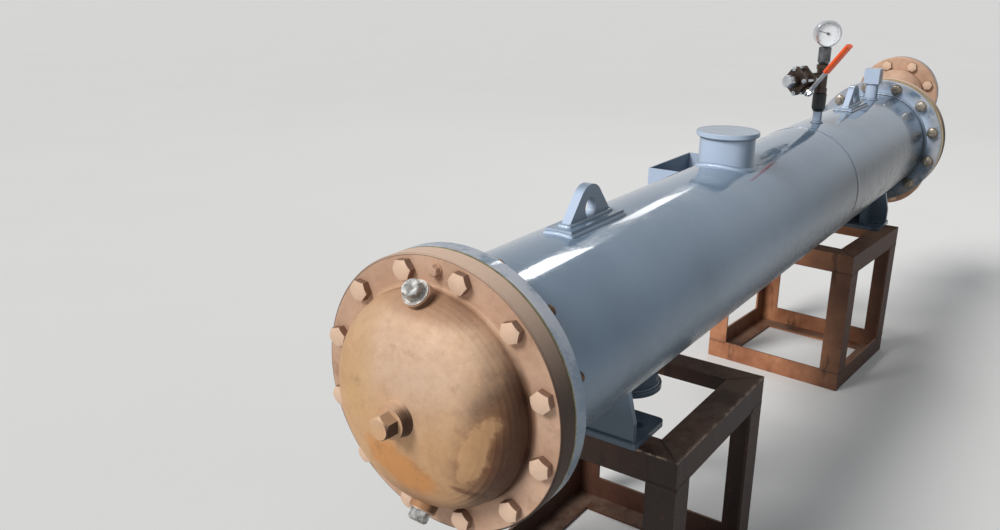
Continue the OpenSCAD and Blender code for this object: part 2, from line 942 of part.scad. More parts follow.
shell();
front_shell_flange();
rear_shell_flange();
front_gasket();
end_cover();
cover_plug();
vent_plug();
drain_plug();
tubesheet_gaskets();
tubesheet();
channel();
nozzle_gaskets();
upper_blank_flange();
lower_blank_flange();
top_nozzle_neck();
top_nozzle_cap();
bottom_nozzle_neck();
bottom_nozzle_cap();
front_lug_pad();
rear_lug_pad();
front_lifting_lug();
rear_lifting_lug();
nameplate_bracket();
relief_stub();
relief_block();
gauge_stub();
gauge_coupling();
gauge_tee();
gauge_adapter();
gauge_case();
gauge_dial();
gauge_glass();
valve_body();
valve_plug();
valve_stem();
valve_lever();
lever_sleeve();
front_saddle_base();
front_saddle();
rear_saddle_base();
rear_saddle();
front_stand_top();
front_stand_legs();
front_stand_foot();
rear_stand_top();
rear_stand_legs();
rear_stand_foot();
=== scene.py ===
# %% [markdown]
# A shell and tube heat exchanger on two stands
#
# The solids of the exchanger come from its CAD model and stay as they are. This lesson dresses
# them: it adds the bolts, the weld beads and the gauge's dial, gives every surface a finish worked
# out from nodes, and sets up a plain studio. Lengths are metres, X runs along the exchanger from
# the dished cover to the nozzle channel, and Z is up.

# %% Load the fixed model
import json
import math

import bpy
import numpy as np
from mathutils import Matrix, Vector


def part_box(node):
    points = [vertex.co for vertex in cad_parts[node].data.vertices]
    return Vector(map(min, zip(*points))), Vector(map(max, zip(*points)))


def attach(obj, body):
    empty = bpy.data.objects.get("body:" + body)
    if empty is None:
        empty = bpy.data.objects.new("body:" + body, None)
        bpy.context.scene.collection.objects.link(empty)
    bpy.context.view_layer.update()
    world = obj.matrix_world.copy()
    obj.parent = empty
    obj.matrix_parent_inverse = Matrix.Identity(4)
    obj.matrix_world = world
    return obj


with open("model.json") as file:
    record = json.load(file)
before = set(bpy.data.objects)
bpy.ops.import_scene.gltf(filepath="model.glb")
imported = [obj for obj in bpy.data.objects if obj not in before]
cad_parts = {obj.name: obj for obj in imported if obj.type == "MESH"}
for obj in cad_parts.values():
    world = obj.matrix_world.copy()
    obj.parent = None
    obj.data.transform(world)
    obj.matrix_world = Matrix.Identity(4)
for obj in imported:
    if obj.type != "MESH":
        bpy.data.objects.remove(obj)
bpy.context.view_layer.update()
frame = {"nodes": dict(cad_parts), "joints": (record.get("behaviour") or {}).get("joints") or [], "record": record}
nodes = frame["nodes"]

# %% [markdown]
# Where things are
#
# Every place below comes from the boxes of the CAD pieces, so nothing has to be fitted by eye. The
# shell gives the axis and its radius, the flanges give the faces that the bolts sit on.

# %% Read the main places from the model
def low(node):
    """Lowest corner of a CAD piece."""
    return np.array(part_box(node)[0])


def high(node):
    """Highest corner of a CAD piece."""
    return np.array(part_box(node)[1])


def middle(node):
    """Centre of a CAD piece's box."""
    return (low(node) + high(node)) / 2


FRONT_X, REAR_X = float(low("shell")[0]), float(high("shell")[0])
SHELL_R = float(high("shell")[2] - low("shell")[2]) / 2
AXIS = middle("shell") * [0, 1, 1]
AXIS_Y, AXIS_Z = float(AXIS[1]), float(AXIS[2])
FLANGE_R = float(high("front_gasket")[2] - low("front_gasket")[2]) / 2
COVER_FLANGE_T, CHANNEL_FLANGE_T = 0.028, 0.028
COVER_FACE_X = float(low("front_gasket")[0]) - COVER_FLANGE_T
CHANNEL_BACK_X = float(high("tubesheet_gaskets")[0]) + CHANNEL_FLANGE_T
print("axis height", round(AXIS_Z, 4), "shell radius", round(SHELL_R, 4))

# %% [markdown]
# The camera
#
# The camera stands before the cover on its -Y side, a little over a metre above the floor. Its
# three offsets are measured from the middle of the cover's flange, and three angles turn the lens.

# %% Place the camera
CAMERA_OFFSET = np.array([-0.733, -0.6148, 0.4866])
CAMERA_YAW, CAMERA_PITCH, CAMERA_ROLL = 35.476, -18.633, 0.306
FOCAL_PIXELS, FRAME_PIXELS, SENSOR = 890.3, 1000, 36.0


def camera_turn(yaw, pitch, roll):
    """Rotation whose -Z looks along yaw from +X and pitch above level, turned by roll."""
    a, e, t = np.radians([yaw, pitch, roll])
    look = np.array([np.cos(a) * np.cos(e), np.sin(a) * np.cos(e), np.sin(e)])
    side = np.array([np.sin(a), -np.cos(a), 0.0])
    top = np.cross(side, look)
    right = side * np.cos(t) + top * np.sin(t)
    up = top * np.cos(t) - side * np.sin(t)
    return np.column_stack([right, up, -look])


camera_data = bpy.data.cameras.new("photo_camera")
camera_data.sensor_width = SENSOR
camera_data.lens = FOCAL_PIXELS / FRAME_PIXELS * SENSOR
camera_data.clip_start, camera_data.clip_end = 0.05, 1000
camera = bpy.data.objects.new("photo_camera", camera_data)
bpy.context.scene.collection.objects.link(camera)
bpy.context.scene.camera = camera
camera_place = AXIS + [COVER_FACE_X, 0, 0] + CAMERA_OFFSET
turn = Matrix(camera_turn(CAMERA_YAW, CAMERA_PITCH, CAMERA_ROLL).tolist()).to_4x4()
camera.matrix_world = Matrix.Translation(camera_place.tolist()) @ turn
print("lens", round(camera_data.lens, 2), "mm")

# %% [markdown]
# From arrays to meshes
#
# A piece is a set of points on a grid of two parameters. One function wraps such a grid in
# four-sided faces, the next closes its two ends by fans of triangles, others join many copies of
# a small part into one mesh, and the last hands the arrays to Blender. A triangle is a row whose
# last corner is written twice. Points never pass through a Python loop.

# %% Grids, joins and meshes
def grid_faces(rows, columns, wrap_rows=False):
    """Quads between neighbours of a rows by columns grid: columns wrap, and rows where asked."""
    last_row = rows if wrap_rows else rows - 1
    i, j = np.meshgrid(np.arange(last_row), np.arange(columns), indexing="ij")
    i, j = i.ravel(), j.ravel()
    i2, j2 = (i + 1) % rows, (j + 1) % columns
    return np.column_stack([i * columns + j, i * columns + j2, i2 * columns + j2, i2 * columns + j])


def capped(points, faces, columns, first, last):
    """Closes a grid's first and last row of points, each by a fan of triangles to one point."""
    j = np.arange(columns)
    k = (j + 1) % columns
    tip, base = len(points) + 0 * j, len(points) - columns
    fans = [np.column_stack([tip, k, j, j]), np.column_stack([tip + 1, base + j, base + k, base + k])]
    return np.vstack([points, first, last]), np.vstack([faces, *fans])


def copies(points, faces, places, turns):
    """Copies of a part: each point turned by a 3 by 3 matrix and moved to a place."""
    places = np.atleast_2d(places)
    turns = np.broadcast_to(turns, (len(places), 3, 3))
    moved = np.einsum("nij,pj->npi", turns, points) + places[:, None, :]
    steps = np.arange(len(places))[:, None, None] * len(points)
    return moved.reshape(-1, 3), (faces[None] + steps).reshape(-1, faces.shape[1])


def joined(*parts):
    """One list of points and one of faces from several parts."""
    points = np.vstack([p for p, _ in parts])
    starts = np.cumsum([0] + [len(p) for p, _ in parts[:-1]])
    return points, np.vstack([f + s for (_, f), s in zip(parts, starts)])


def frame_along(axis):
    """3 by 3 matrix whose third column is the axis and whose second leans towards +Z."""
    axis = np.array(axis, float) / np.linalg.norm(axis)
    side = np.cross((0, 0, 1), axis)
    if np.linalg.norm(side) < 1e-6:
        side = np.cross((0, 1, 0), axis)
    side = side / np.linalg.norm(side)
    return np.column_stack([side, np.cross(axis, side), axis])


def piece(name, points, faces, slot, sharp=35):
    """Makes a mesh object of the arrays, smooth but for edges over the sharp angle."""
    mesh = bpy.data.meshes.new(name)
    mesh.vertices.add(len(points))
    mesh.vertices.foreach_set("co", np.ascontiguousarray(points, np.float32).ravel())
    sides = np.where(faces[:, 2] == faces[:, 3], 3, 4)
    corners = faces[np.arange(4) < sides[:, None]]
    mesh.loops.add(len(corners))
    mesh.loops.foreach_set("vertex_index", corners.astype(np.int32))
    mesh.polygons.add(len(faces))
    mesh.polygons.foreach_set("loop_start", (np.cumsum(sides) - sides).astype(np.int32))
    mesh.polygons.foreach_set("use_smooth", np.ones(len(faces), bool))
    mesh.update(calc_edges=True)
    mesh.validate()
    mesh.set_sharp_from_angle(angle=math.radians(sharp))
    made = bpy.data.objects.new(name, mesh)
    bpy.context.scene.collection.objects.link(made)
    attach(made, "root")
    print(name, len(points), "points", len(faces), "faces")
    return made


# %% [markdown]
# Turned and hexagonal parts
#
# A stud end or a washer is a profile turned about an axis. A bolt head is the same with one change:
# the radius follows a hexagon, and the height falls off where the corners were turned away, which
# gives the curved upper edges of a real head. Twenty-four columns are enough at this size.

# %% Turn profiles into parts
END_SIDES, HEAD_SIDES = 16, 24
CORNER_START, CORNER_DROP = 0.95, 0.55
HEAD_REACH, HEAD_FACE = 1.2, 0.93
THREAD_PITCH, THREAD_CHAMFER = 0.002, 0.82


def turned(radii, heights, columns=HEAD_SIDES, hexagon=0.0):
    """Rings at the given radii and heights, closed on the axis at the first and last height.

    With a hexagon half width w, the radius is capped by w over the cosine of the angle to the
    nearest flat, so rings wider than w become hexagons and smaller ones stay round. In the upper
    half, what reaches past CORNER_START of w sinks by CORNER_DROP of the excess."""
    radii, heights = np.asarray(radii, float), np.asarray(heights, float)
    t = np.arange(columns) / columns * 2 * np.pi
    r = radii[:, None] * np.ones(columns)
    z = heights[:, None] * np.ones(columns)
    if hexagon:
        flat = hexagon / np.cos((t + np.pi / 6) % (np.pi / 3) - np.pi / 6)
        over = np.clip(flat - hexagon * CORNER_START, 0, None)[None]
        z = np.where(r > hexagon, z - over * CORNER_DROP * (z > z.max() / 2), z)
        r = np.minimum(r, flat)
    rings = np.stack([r * np.cos(t), r * np.sin(t), z], -1).reshape(-1, 3)
    ends = [(0, 0, heights[0]), (0, 0, heights[-1])]
    return capped(rings, grid_faces(len(radii), columns), columns, *ends)


def hex_head(across, height):
    """Bolt head or nut of a width across flats, standing on height 0."""
    w = across / 2
    return turned([w * HEAD_REACH, w * HEAD_REACH, w * HEAD_FACE], [0, height, height], hexagon=w)


def round_end(radius, height):
    """End of a stud, with its rim broken."""
    rim = radius * 0.15
    return turned([radius, radius, radius - rim], [0, height - rim, height], END_SIDES)


def threaded_end(radius, height):
    """Bare end of a bolt: ridges and grooves half a pitch apart and as deep, then a chamfer."""
    k = np.arange(round(2 * height / THREAD_PITCH) - 1)
    ridges = radius - THREAD_PITCH / 2 * (k % 2)
    return turned([*ridges, radius * THREAD_CHAMFER], [*(k * THREAD_PITCH / 2), height], END_SIDES)


def washer(radius, thickness):
    """Flat washer, closed in the middle where the bolt passes."""
    return turned([radius, radius], [0, thickness])


def around(t):
    """Unit vectors square to X, at angles t from +Y."""
    return np.column_stack([0 * t, np.cos(t), np.sin(t)])


def ring_places(centre, radius, count, first):
    """Points on a bolt circle square to X, the first at an angle in degrees from +Y."""
    return centre + radius * around(np.radians(first + np.arange(count) * 360 / count))


# %% [markdown]
# The cover's bolts
#
# Twelve M16 bolts hold the cover. They screw into the painted shell flange, and their threaded ends
# stand out 22 mm behind it. The heads share the casting's colour. Each head is turned by its own
# angle, as a spanner leaves it.

# %% Bolt the cover to the shell
BOLT_CIRCLE_R, BOLT_COUNT, BOLT_FIRST = 0.158, 12, 15
HEAD_ACROSS, HEAD_H, BOLT_R, BOLT_END = 0.024, 0.0105, 0.008, 0.022
rng = np.random.default_rng(7)


def spun(axis, count):
    """A frame along the axis for each bolt, each turned by its own angle."""
    base = frame_along(axis)
    t = np.radians(rng.uniform(-180, 180, count))
    zero, one = 0 * t, 0 * t + 1
    spin = np.stack([np.stack([np.cos(t), -np.sin(t), zero], -1),
                     np.stack([np.sin(t), np.cos(t), zero], -1),
                     np.stack([zero, zero, one], -1)], 1)
    return base @ spin


def bolted(name, part, places, way, slot):
    """One piece of equal parts that stand at their places along a way, each spun on its own."""
    return piece(name, *copies(*part, places, spun(way, len(places))), slot=slot)


front_ring = ring_places(AXIS + [COVER_FACE_X, 0, 0], BOLT_CIRCLE_R, BOLT_COUNT, BOLT_FIRST)
head = hex_head(HEAD_ACROSS, HEAD_H)
cover_bolts = bolted("cover_bolt_heads", head, front_ring, (-1, 0, 0), "bronze")

flange_back_x = high("front_shell_flange")[0]
end_ring = front_ring + [flange_back_x - COVER_FACE_X, 0, 0]
bolt_end = threaded_end(BOLT_R, BOLT_END)
cover_bolt_ends = bolted("cover_bolt_ends", bolt_end, end_ring, (1, 0, 0), "zinc")

# %% [markdown]
# The channel's studs
#
# At the far end each bolt goes through the shell flange, the brass tubesheet and the channel's
# flange. Nuts sit on the grey side, heads on the bronze side.

# %% Bolt the channel to the shell
NUT_H, PAST_NUT = 0.0135, 0.009
WASHER_R, WASHER_T = 0.015, 0.0028
nut_x = low("rear_shell_flange")[0]
nut_ring = front_ring + [nut_x - COVER_FACE_X, 0, 0]
nut = joined(washer(WASHER_R, WASHER_T), hex_head(HEAD_ACROSS, NUT_H), round_end(BOLT_R, NUT_H + PAST_NUT))
channel_nuts = bolted("channel_nuts", nut, nut_ring, (-1, 0, 0), "zinc")
back_ring = nut_ring + [CHANNEL_BACK_X - nut_x, 0, 0]
channel_heads = bolted("channel_bolt_heads", head, back_ring, (1, 0, 0), "bronze")

# %% [markdown]
# The nozzle bolts
#
# Each channel nozzle is blanked by a steel plate on eight bolts. Their heads sit in front, on the
# hub side of the bronze flange, and the nuts are behind the plate.

# %% Bolt the blank plates on
NOZZLE_CIRCLE_R, NOZZLE_COUNT, NOZZLE_FIRST = 0.093, 8, 22.5
NOZZLE_HEAD_H, NOZZLE_BOLT_R, NOZZLE_STUD_H = 0.010, 0.0075, 0.018
NOZZLE_WASHER_R, NOZZLE_WASHER_T, NOZZLE_FLANGE_T = 0.0145, 0.0025, 0.022
plates = ["upper_blank_flange", "lower_blank_flange"]
hub_face_x = low("nozzle_gaskets")[0] - NOZZLE_FLANGE_T
plate_x = high(plates[0])[0]
nozzle_ring = np.vstack([ring_places(middle(p) * [0, 1, 1], NOZZLE_CIRCLE_R, NOZZLE_COUNT, NOZZLE_FIRST)
                         for p in plates])
nozzle_head = hex_head(HEAD_ACROSS, NOZZLE_HEAD_H)
hub_ring = nozzle_ring + [hub_face_x, 0, 0]
nozzle_heads = bolted("nozzle_bolt_heads", nozzle_head, hub_ring, (-1, 0, 0), "bronze")
plate_nut = joined(washer(NOZZLE_WASHER_R, NOZZLE_WASHER_T), hex_head(HEAD_ACROSS, NUT_H),
                   round_end(NOZZLE_BOLT_R, NOZZLE_STUD_H))
nozzle_nuts = bolted("nozzle_nuts", plate_nut, nozzle_ring + [plate_x, 0, 0], (1, 0, 0), "zinc")
# shanks cross the narrow gap that the gasket leaves round its edge
gap = low(plates[0])[0] - hub_face_x - NOZZLE_FLANGE_T
shank_ring = hub_ring + [NOZZLE_FLANGE_T, 0, 0]
shanks = copies(*round_end(NOZZLE_BOLT_R, gap), shank_ring, frame_along((1, 0, 0)))
nozzle_shanks = piece("nozzle_bolt_shanks", *shanks, slot="zinc")

# %% [markdown]
# Small screws
#
# A jack screw beside the vent plug pushes the cover off its gasket. The drain valve is held
# together by four small studs through its square end plates, with a nut at each end.

# %% Add the jack screw and the valve's studs
JACK_OUT, JACK_ANGLE, JACK_ACROSS, JACK_H = 0.160, 91.5, 0.0125, 0.009
JACK_WASHER_R, JACK_WASHER_T = 0.0085, 0.0015
jack_place = ring_places(AXIS + [COVER_FACE_X, 0, 0], JACK_OUT, 1, JACK_ANGLE)
jack = joined(washer(JACK_WASHER_R, JACK_WASHER_T), hex_head(JACK_ACROSS, JACK_H))
jack_screw = piece("jack_screw", *copies(*jack, jack_place, frame_along((-1, 0, 0))), slot="bronze")

BRANCH_ANGLE = math.radians(158)
branch = np.array([math.cos(BRANCH_ANGLE), math.sin(BRANCH_ANGLE), 0])
lever_joint = frame["joints"][0]
stem_way = np.array(lever_joint["axis"])
lever_way = np.cross(branch, stem_way)
LEVER_PIVOT = np.array(lever_joint["pos_m"])
VALVE_HALF, PLATE_T, STUD_OFF, ROD_R = 0.010, 0.007, 0.0195, 0.0035
SMALL_ACROSS, SMALL_NUT_H, SMALL_STUD_R, SMALL_STUD_H = 0.0095, 0.0050, 0.0030, 0.008
corners = np.array([(a, b) for a in (-1, 1) for b in (-1, 1)]) * STUD_OFF
stud_feet = LEVER_PIVOT + corners[:, :1] * stem_way + corners[:, 1:] * lever_way
plate_face = VALVE_HALF + PLATE_T
small_nut = joined(hex_head(SMALL_ACROSS, SMALL_NUT_H), round_end(SMALL_STUD_R, SMALL_STUD_H))
rod = round_end(ROD_R, 2 * VALVE_HALF)
valve_studs = joined(
    copies(*small_nut, stud_feet + branch * plate_face, spun(branch, 4)),
    copies(*small_nut, stud_feet - branch * plate_face, spun(-branch, 4)),
    copies(*rod, stud_feet - branch * VALVE_HALF, frame_along(branch)))
valve_stud_piece = piece("valve_studs", *valve_studs, slot="zinc")

# %% [markdown]
# Weld beads
#
# The shell, its flanges, necks and feet are welded. A bead is an ellipse carried along the seam:
# its half width lies across the seam, its bulge stands out of the corner, and both swell and sink
# along the way where the welder paused. The lower half is buried in the steel.

# %% Carry a bead along a seam
RIPPLE_PITCH, RIPPLE_MEAN, BEAD_SIDES = 0.0042, 0.6, 8
FILLET_OUT, FILLET_HALF_W, FILLET_HALF_H = 0.42, 0.74, 0.40


def bead(centre, across, bulge, width, height, closed=True, ripple=0.16):
    """Ellipse of half width and height carried along centre points.

    across and bulge are unit vectors at each point. The size is scaled by one plus ripple times
    the absolute sine of the way travelled over the ripple pitch. Where across, bulge and the way
    make a left hand, across is reversed, so that the faces point outwards."""
    centre, across, bulge = map(np.asarray, (centre, across, bulge))
    if np.dot(np.cross(across[0], bulge[0]), centre[1] - centre[0]) < 0:
        across = -across
    step = np.linalg.norm(np.diff(centre, axis=0), axis=1)
    way = np.concatenate([[0], np.cumsum(step)])
    total = way[-1] + (np.linalg.norm(centre[0] - centre[-1]) if closed else 0)
    waves = max(round(total / RIPPLE_PITCH), 1)
    swell = 1 + ripple * (np.abs(np.sin(np.pi * way * waves / total)) - RIPPLE_MEAN)
    t = np.arange(BEAD_SIDES) / BEAD_SIDES * 2 * np.pi
    ring = (across[:, None] * np.cos(t)[None, :, None] * width
            + bulge[:, None] * np.sin(t)[None, :, None] * height) * swell[:, None, None]
    points = (centre[:, None] + ring).reshape(-1, 3)
    faces = grid_faces(len(centre), BEAD_SIDES, wrap_rows=closed)
    return (points, faces) if closed else capped(points, faces, BEAD_SIDES, centre[0], centre[-1])


def fillet_bead(corner, one_way, other_way, leg, closed=True):
    """Bead in the corner between two surfaces, its legs along one_way and other_way."""
    one_way, other_way = np.asarray(one_way, float), np.asarray(other_way, float)
    across = (one_way - other_way) / np.sqrt(2)
    bulge = (one_way + other_way) / np.sqrt(2)
    return bead(corner + bulge * leg * FILLET_OUT, across, bulge, leg * FILLET_HALF_W,
                leg * FILLET_HALF_H, closed)


def seam_count(length):
    """Number of points along a seam, so that each ripple gets about four."""
    return max(int(length / RIPPLE_PITCH * 4), 8)


def round_seam(x, radius, out_way, leg):
    """Seam round the axis at x, between a face square to X and the surface along out_way."""
    count = seam_count(2 * np.pi * radius)
    radial = around(np.arange(count) / count * 2 * np.pi)
    along = np.broadcast_to(out_way, radial.shape).astype(float)
    return fillet_bead(AXIS + [x, 0, 0] + radial * radius, radial, along, leg)


def line_seam(start, end, one_way, other_way, leg):
    """Straight seam from start to end."""
    start, end = np.asarray(start, float), np.asarray(end, float)
    s = np.linspace(0, 1, seam_count(np.linalg.norm(end - start)))[:, None]
    one = np.broadcast_to(np.asarray(one_way, float), (len(s), 3))
    other = np.broadcast_to(np.asarray(other_way, float), (len(s), 3))
    return fillet_bead(start + (end - start) * s, one, other, leg, closed=False)


# %% [markdown]
# Seams on the shell's surface
#
# A neck or a pad plate stands on the round shell. Its outline is drawn in plan, dropped on the
# shell, and the bead leans between straight up and the way that runs off along the shell.

# %% Drop outlines on the shell
def rounded_outline(half_x, half_y, corner, count):
    """Rounded rectangle in plan and its outward normals. With corner equal to both halves it is
    a circle. Arcs and sides share the points by their length."""
    sides = [2 * (half_y - corner), 2 * (half_x - corner)] * 2
    arc = np.pi / 2 * corner
    total = sum(sides) + 4 * arc
    s = np.arange(count) / count * total
    points, normals = np.zeros((count, 2)), np.zeros((count, 2))
    start = 0.0
    centres = [(1, 1), (-1, 1), (-1, -1), (1, -1)]
    for k in range(4):
        a0 = k * np.pi / 2
        n = np.array([np.cos(a0), np.sin(a0)])
        along = np.array([-n[1], n[0]])
        reach = half_x if k % 2 == 0 else half_y
        on = (s >= start) & (s < start + sides[k])
        off = (s[on] - start - sides[k] / 2)[:, None]
        points[on], normals[on] = n * reach + along * off, n
        start += sides[k]
        on = (s >= start) & (s < start + arc) if arc else s < 0
        a = a0 + (s[on] - start) / max(corner, 1e-9)
        turn_way = np.column_stack([np.cos(a), np.sin(a)])
        middle_of_arc = np.array(centres[k]) * [half_x - corner, half_y - corner]
        points[on], normals[on] = middle_of_arc + turn_way * corner, turn_way
        start += arc
    return points, normals


def shell_seam(x, half_x, half_y, corner, leg, up=1):
    """Bead round an outline on the shell's crown (up 1) or underside (up -1)."""
    count = seam_count(4 * (half_x + half_y))
    plan, out = rounded_outline(half_x, half_y, corner, count)
    y = plan[:, 1]
    z = np.sqrt(SHELL_R ** 2 - y ** 2) * up
    normal = np.column_stack([0 * y, y, z]) / SHELL_R
    way = np.column_stack([out, 0 * y])
    way = way - (way * normal).sum(1, keepdims=True) * normal
    way /= np.linalg.norm(way, axis=1, keepdims=True)
    upright = np.broadcast_to(np.array([0.0, 0, up]), way.shape)
    corner_points = AXIS + np.column_stack([x + plan[:, 0], y, z])
    return fillet_bead(corner_points, upright, way, leg)


def flat_seam(centre, half_x, half_y, corner, leg, up=1):
    """Bead round an outline that stands on a level face (up 1) or hangs from it (up -1)."""
    plan, out = rounded_outline(half_x, half_y, corner, seam_count(4 * (half_x + half_y)))
    way = np.column_stack([out, 0 * out[:, :1]])
    upright = np.broadcast_to(np.array([0.0, 0, up]), way.shape)
    points = np.asarray(centre) + np.column_stack([plan, 0 * plan[:, :1]])
    return fillet_bead(points, upright, way, leg)


def plan_half(node):
    """Half sizes of a CAD piece in plan."""
    half = (high(node) - low(node)) / 2
    return half[0], half[1]


# %% Weld the shell, its necks, pads and lugs
SHELL_LEG, PLATE_LEG, STUB_LEG, CAP_LEG = 0.0065, 0.005, 0.0045, 0.004
PLATE_CORNER = 0.001
welds = [round_seam(flange_back_x, SHELL_R, (1, 0, 0), SHELL_LEG),
         round_seam(nut_x, SHELL_R, (-1, 0, 0), SHELL_LEG)]
for side, up in (("top", 1), ("bottom", -1)):
    neck, cap = f"{side}_nozzle_neck", f"{side}_nozzle_cap"
    x, neck_r = middle(neck)[0], plan_half(neck)[0]
    welds.append(shell_seam(x, neck_r, neck_r, neck_r, SHELL_LEG, up))
    cap_face = (low(cap) if up > 0 else high(cap))[2]
    welds.append(flat_seam([x, AXIS_Y, cap_face], neck_r, neck_r, neck_r, CAP_LEG, -up))
for end in ("front", "rear"):
    pad, lug = f"{end}_lug_pad", f"{end}_lifting_lug"
    welds.append(shell_seam(middle(pad)[0], *plan_half(pad), PLATE_CORNER, PLATE_LEG))
    foot = [middle(lug)[0], AXIS_Y, high(pad)[2]]
    welds.append(flat_seam(foot, *plan_half(lug), PLATE_CORNER, PLATE_LEG))
for stub in ("gauge_stub", "relief_stub"):
    x, stub_r = middle(stub)[0], plan_half(stub)[0]
    welds.append(shell_seam(x, stub_r, stub_r, stub_r, STUB_LEG))
block_foot = [middle("relief_block")[0], AXIS_Y, low("relief_block")[2]]
welds.append(flat_seam(block_foot, stub_r, stub_r, stub_r, CAP_LEG, -1))
shell_welds = piece("shell_weld_beads", *joined(*welds), slot="shell_paint", sharp=60)

# %% [markdown]
# Girth seam, bracket and saddles
#
# The shell is rolled from two lengths, and a low bead shows where they meet. The nameplate bracket
# and the saddles are welded where their edges touch the shell.

# %% Weld the seam, the bracket and the saddles
GIRTH_X = FRONT_X + 1.300
GIRTH_HALF_W, GIRTH_H, GIRTH_SINK, GIRTH_POINTS = 0.010, 0.0014, 0.0003, 900
WEB_T, SEAT_ANGLE = 0.010, math.radians(35)
RIB_PITCH, RIB_T, RIB_CLEAR, RIB_LEG = 0.084, 0.010, 0.002, 0.004
BRACKET_T, BRACKET_LEG, BRACKET_RUN = 0.003, 0.003, 0.11
radial = around(np.arange(GIRTH_POINTS) / GIRTH_POINTS * 2 * np.pi)
along_x = np.broadcast_to([1.0, 0, 0], radial.shape)
girth = bead(AXIS + [GIRTH_X, 0, 0] + radial * (SHELL_R - GIRTH_SINK), along_x, radial,
             GIRTH_HALF_W, GIRTH_H)


def shell_edge_seam(x, ray, way, leg):
    """Bead where a plate square to X meets the shell along rays from the axis, on its way side."""
    side = np.broadcast_to([float(way), 0, 0], ray.shape)
    return fillet_bead(AXIS + [x, 0, 0] + ray * SHELL_R, side, ray, leg, closed=False)


def saddle_seams(end, inner):
    """Beads where a saddle's web and two ribs meet the shell and the base plate. inner is +1
    where the ribs lie on the web's +X side."""
    web_low, web_high, z = low(f"{end}_saddle"), high(f"{end}_saddle"), high(f"{end}_saddle_base")[2]
    face = (web_low if inner > 0 else web_high)[0]
    seat = np.linspace(-SEAT_ANGLE, SEAT_ANGLE, seam_count(2 * SEAT_ANGLE * SHELL_R))
    seams = []
    for x, way in ((face, -inner), (face + inner * WEB_T, inner)):
        seams.append(shell_edge_seam(x, around(seat - np.pi / 2), way, PLATE_LEG))
        seams.append(line_seam([x, web_low[1], z], [x, web_high[1], z], (way, 0, 0), (0, 0, 1), PLATE_LEG))
    far_face = (web_low + web_high)[0] - face
    rib_ends = sorted([face + inner * (WEB_T + RIB_CLEAR), far_face - inner * RIB_CLEAR])
    for side in (-1, 1):
        for way in (-1, 1):
            y = AXIS_Y + side * RIB_PITCH / 2 + way * RIB_T / 2
            start, stop = [rib_ends[0], y, z], [rib_ends[1], y, z]
            seams.append(line_seam(start, stop, (0, way, 0), (0, 0, 1), RIB_LEG))
    return seams


def bracket_seams():
    """Beads on both sides of the nameplate bracket's two cheeks, where they meet the shell."""
    near, far = low("nameplate_bracket"), high("nameplate_bracket")
    z = np.linspace(near[2], far[2], seam_count(BRACKET_RUN)) - AXIS_Z
    ray = around(np.arcsin(z / SHELL_R))
    cheeks = ((near[0], -1), (near[0] + BRACKET_T, 1), (far[0], 1), (far[0] - BRACKET_T, -1))
    return [shell_edge_seam(x, ray, way, BRACKET_LEG) for x, way in cheeks]


saddle_welds = joined(girth, *bracket_seams(), *saddle_seams("front", 1), *saddle_seams("rear", -1))
foot_welds = piece("saddle_weld_beads", *saddle_welds, slot="shell_paint", sharp=60)

# %% [markdown]
# The stands' welds
#
# The angle iron is mitred at the rings' corners and butted where the legs meet the rings. These
# are rough runs, a little proud of the faces, and the thin primer leaves them dark.

# %% Weld the stands
ANGLE_W, STAND_HALF_X, STAND_HALF_Y, REAR_ASKEW = 0.050, 0.180, 0.185, -4
SEAM_EDGE, MITRE_H, BUTT_HALF_W, BUTT_H, BUTT_RIPPLE = 0.002, 0.0008, 0.004, 0.0013, 0.3


def butt_seam(start, end, outward, height=BUTT_H):
    """Low bead on a flat face from start to end."""
    start, end = np.asarray(start, float), np.asarray(end, float)
    s = np.linspace(0, 1, seam_count(np.linalg.norm(end - start)))[:, None]
    way = (end - start) / np.linalg.norm(end - start)
    out = np.broadcast_to(np.asarray(outward, float), (len(s), 3))
    return bead(start + (end - start) * s, np.cross(out, way), out, BUTT_HALF_W, height,
                closed=False, ripple=BUTT_RIPPLE)


def stand_seams(top, foot, askew):
    """Beads on one stand: across both outer faces of each leg, top and bottom, and mitres on top.
    They are laid about the stand's middle with its sides along X and Y, then turned by askew."""
    seams = []
    near, far = SEAM_EDGE, ANGLE_W - SEAM_EDGE
    for sx in (-1, 1):
        for sy in (-1, 1):
            corner = np.array([sx * STAND_HALF_X, sy * STAND_HALF_Y, 0])
            x_way, y_way = np.array([-sx, 0, 0]), np.array([0, -sy, 0])
            for z in (low(top)[2], high(foot)[2]):
                c = corner + [0, 0, z]
                seams.append(butt_seam(c + x_way * near, c + x_way * far, -y_way))
                seams.append(butt_seam(c + y_way * near, c + y_way * far, -x_way))
            c = corner + [0, 0, high(top)[2]]
            diagonal = x_way + y_way
            seams.append(butt_seam(c + diagonal * near, c + diagonal * far, (0, 0, 1), height=MITRE_H))
    c, s = math.cos(math.radians(askew)), math.sin(math.radians(askew))
    turn_about_z = np.array([[c, -s, 0], [s, c, 0], [0, 0, 1]])
    points, faces = joined(*seams)
    return points @ turn_about_z.T + middle(top) * [1, 1, 0], faces


stand_runs = [stand_seams("front_stand_top", "front_stand_foot", 0),
              stand_seams("rear_stand_top", "rear_stand_foot", REAR_ASKEW)]
stand_welds = piece("stand_weld_beads", *joined(*stand_runs), slot="oxide_steel", sharp=60)

# %% [markdown]
# The gauge's dial
#
# The dial is white with a black scale over three quarters of a turn and a pointer that stopped
# near a fifth of it. Ticks are thin bars laid out by angle, and each tenth of the scale starts
# with a longer and wider one.

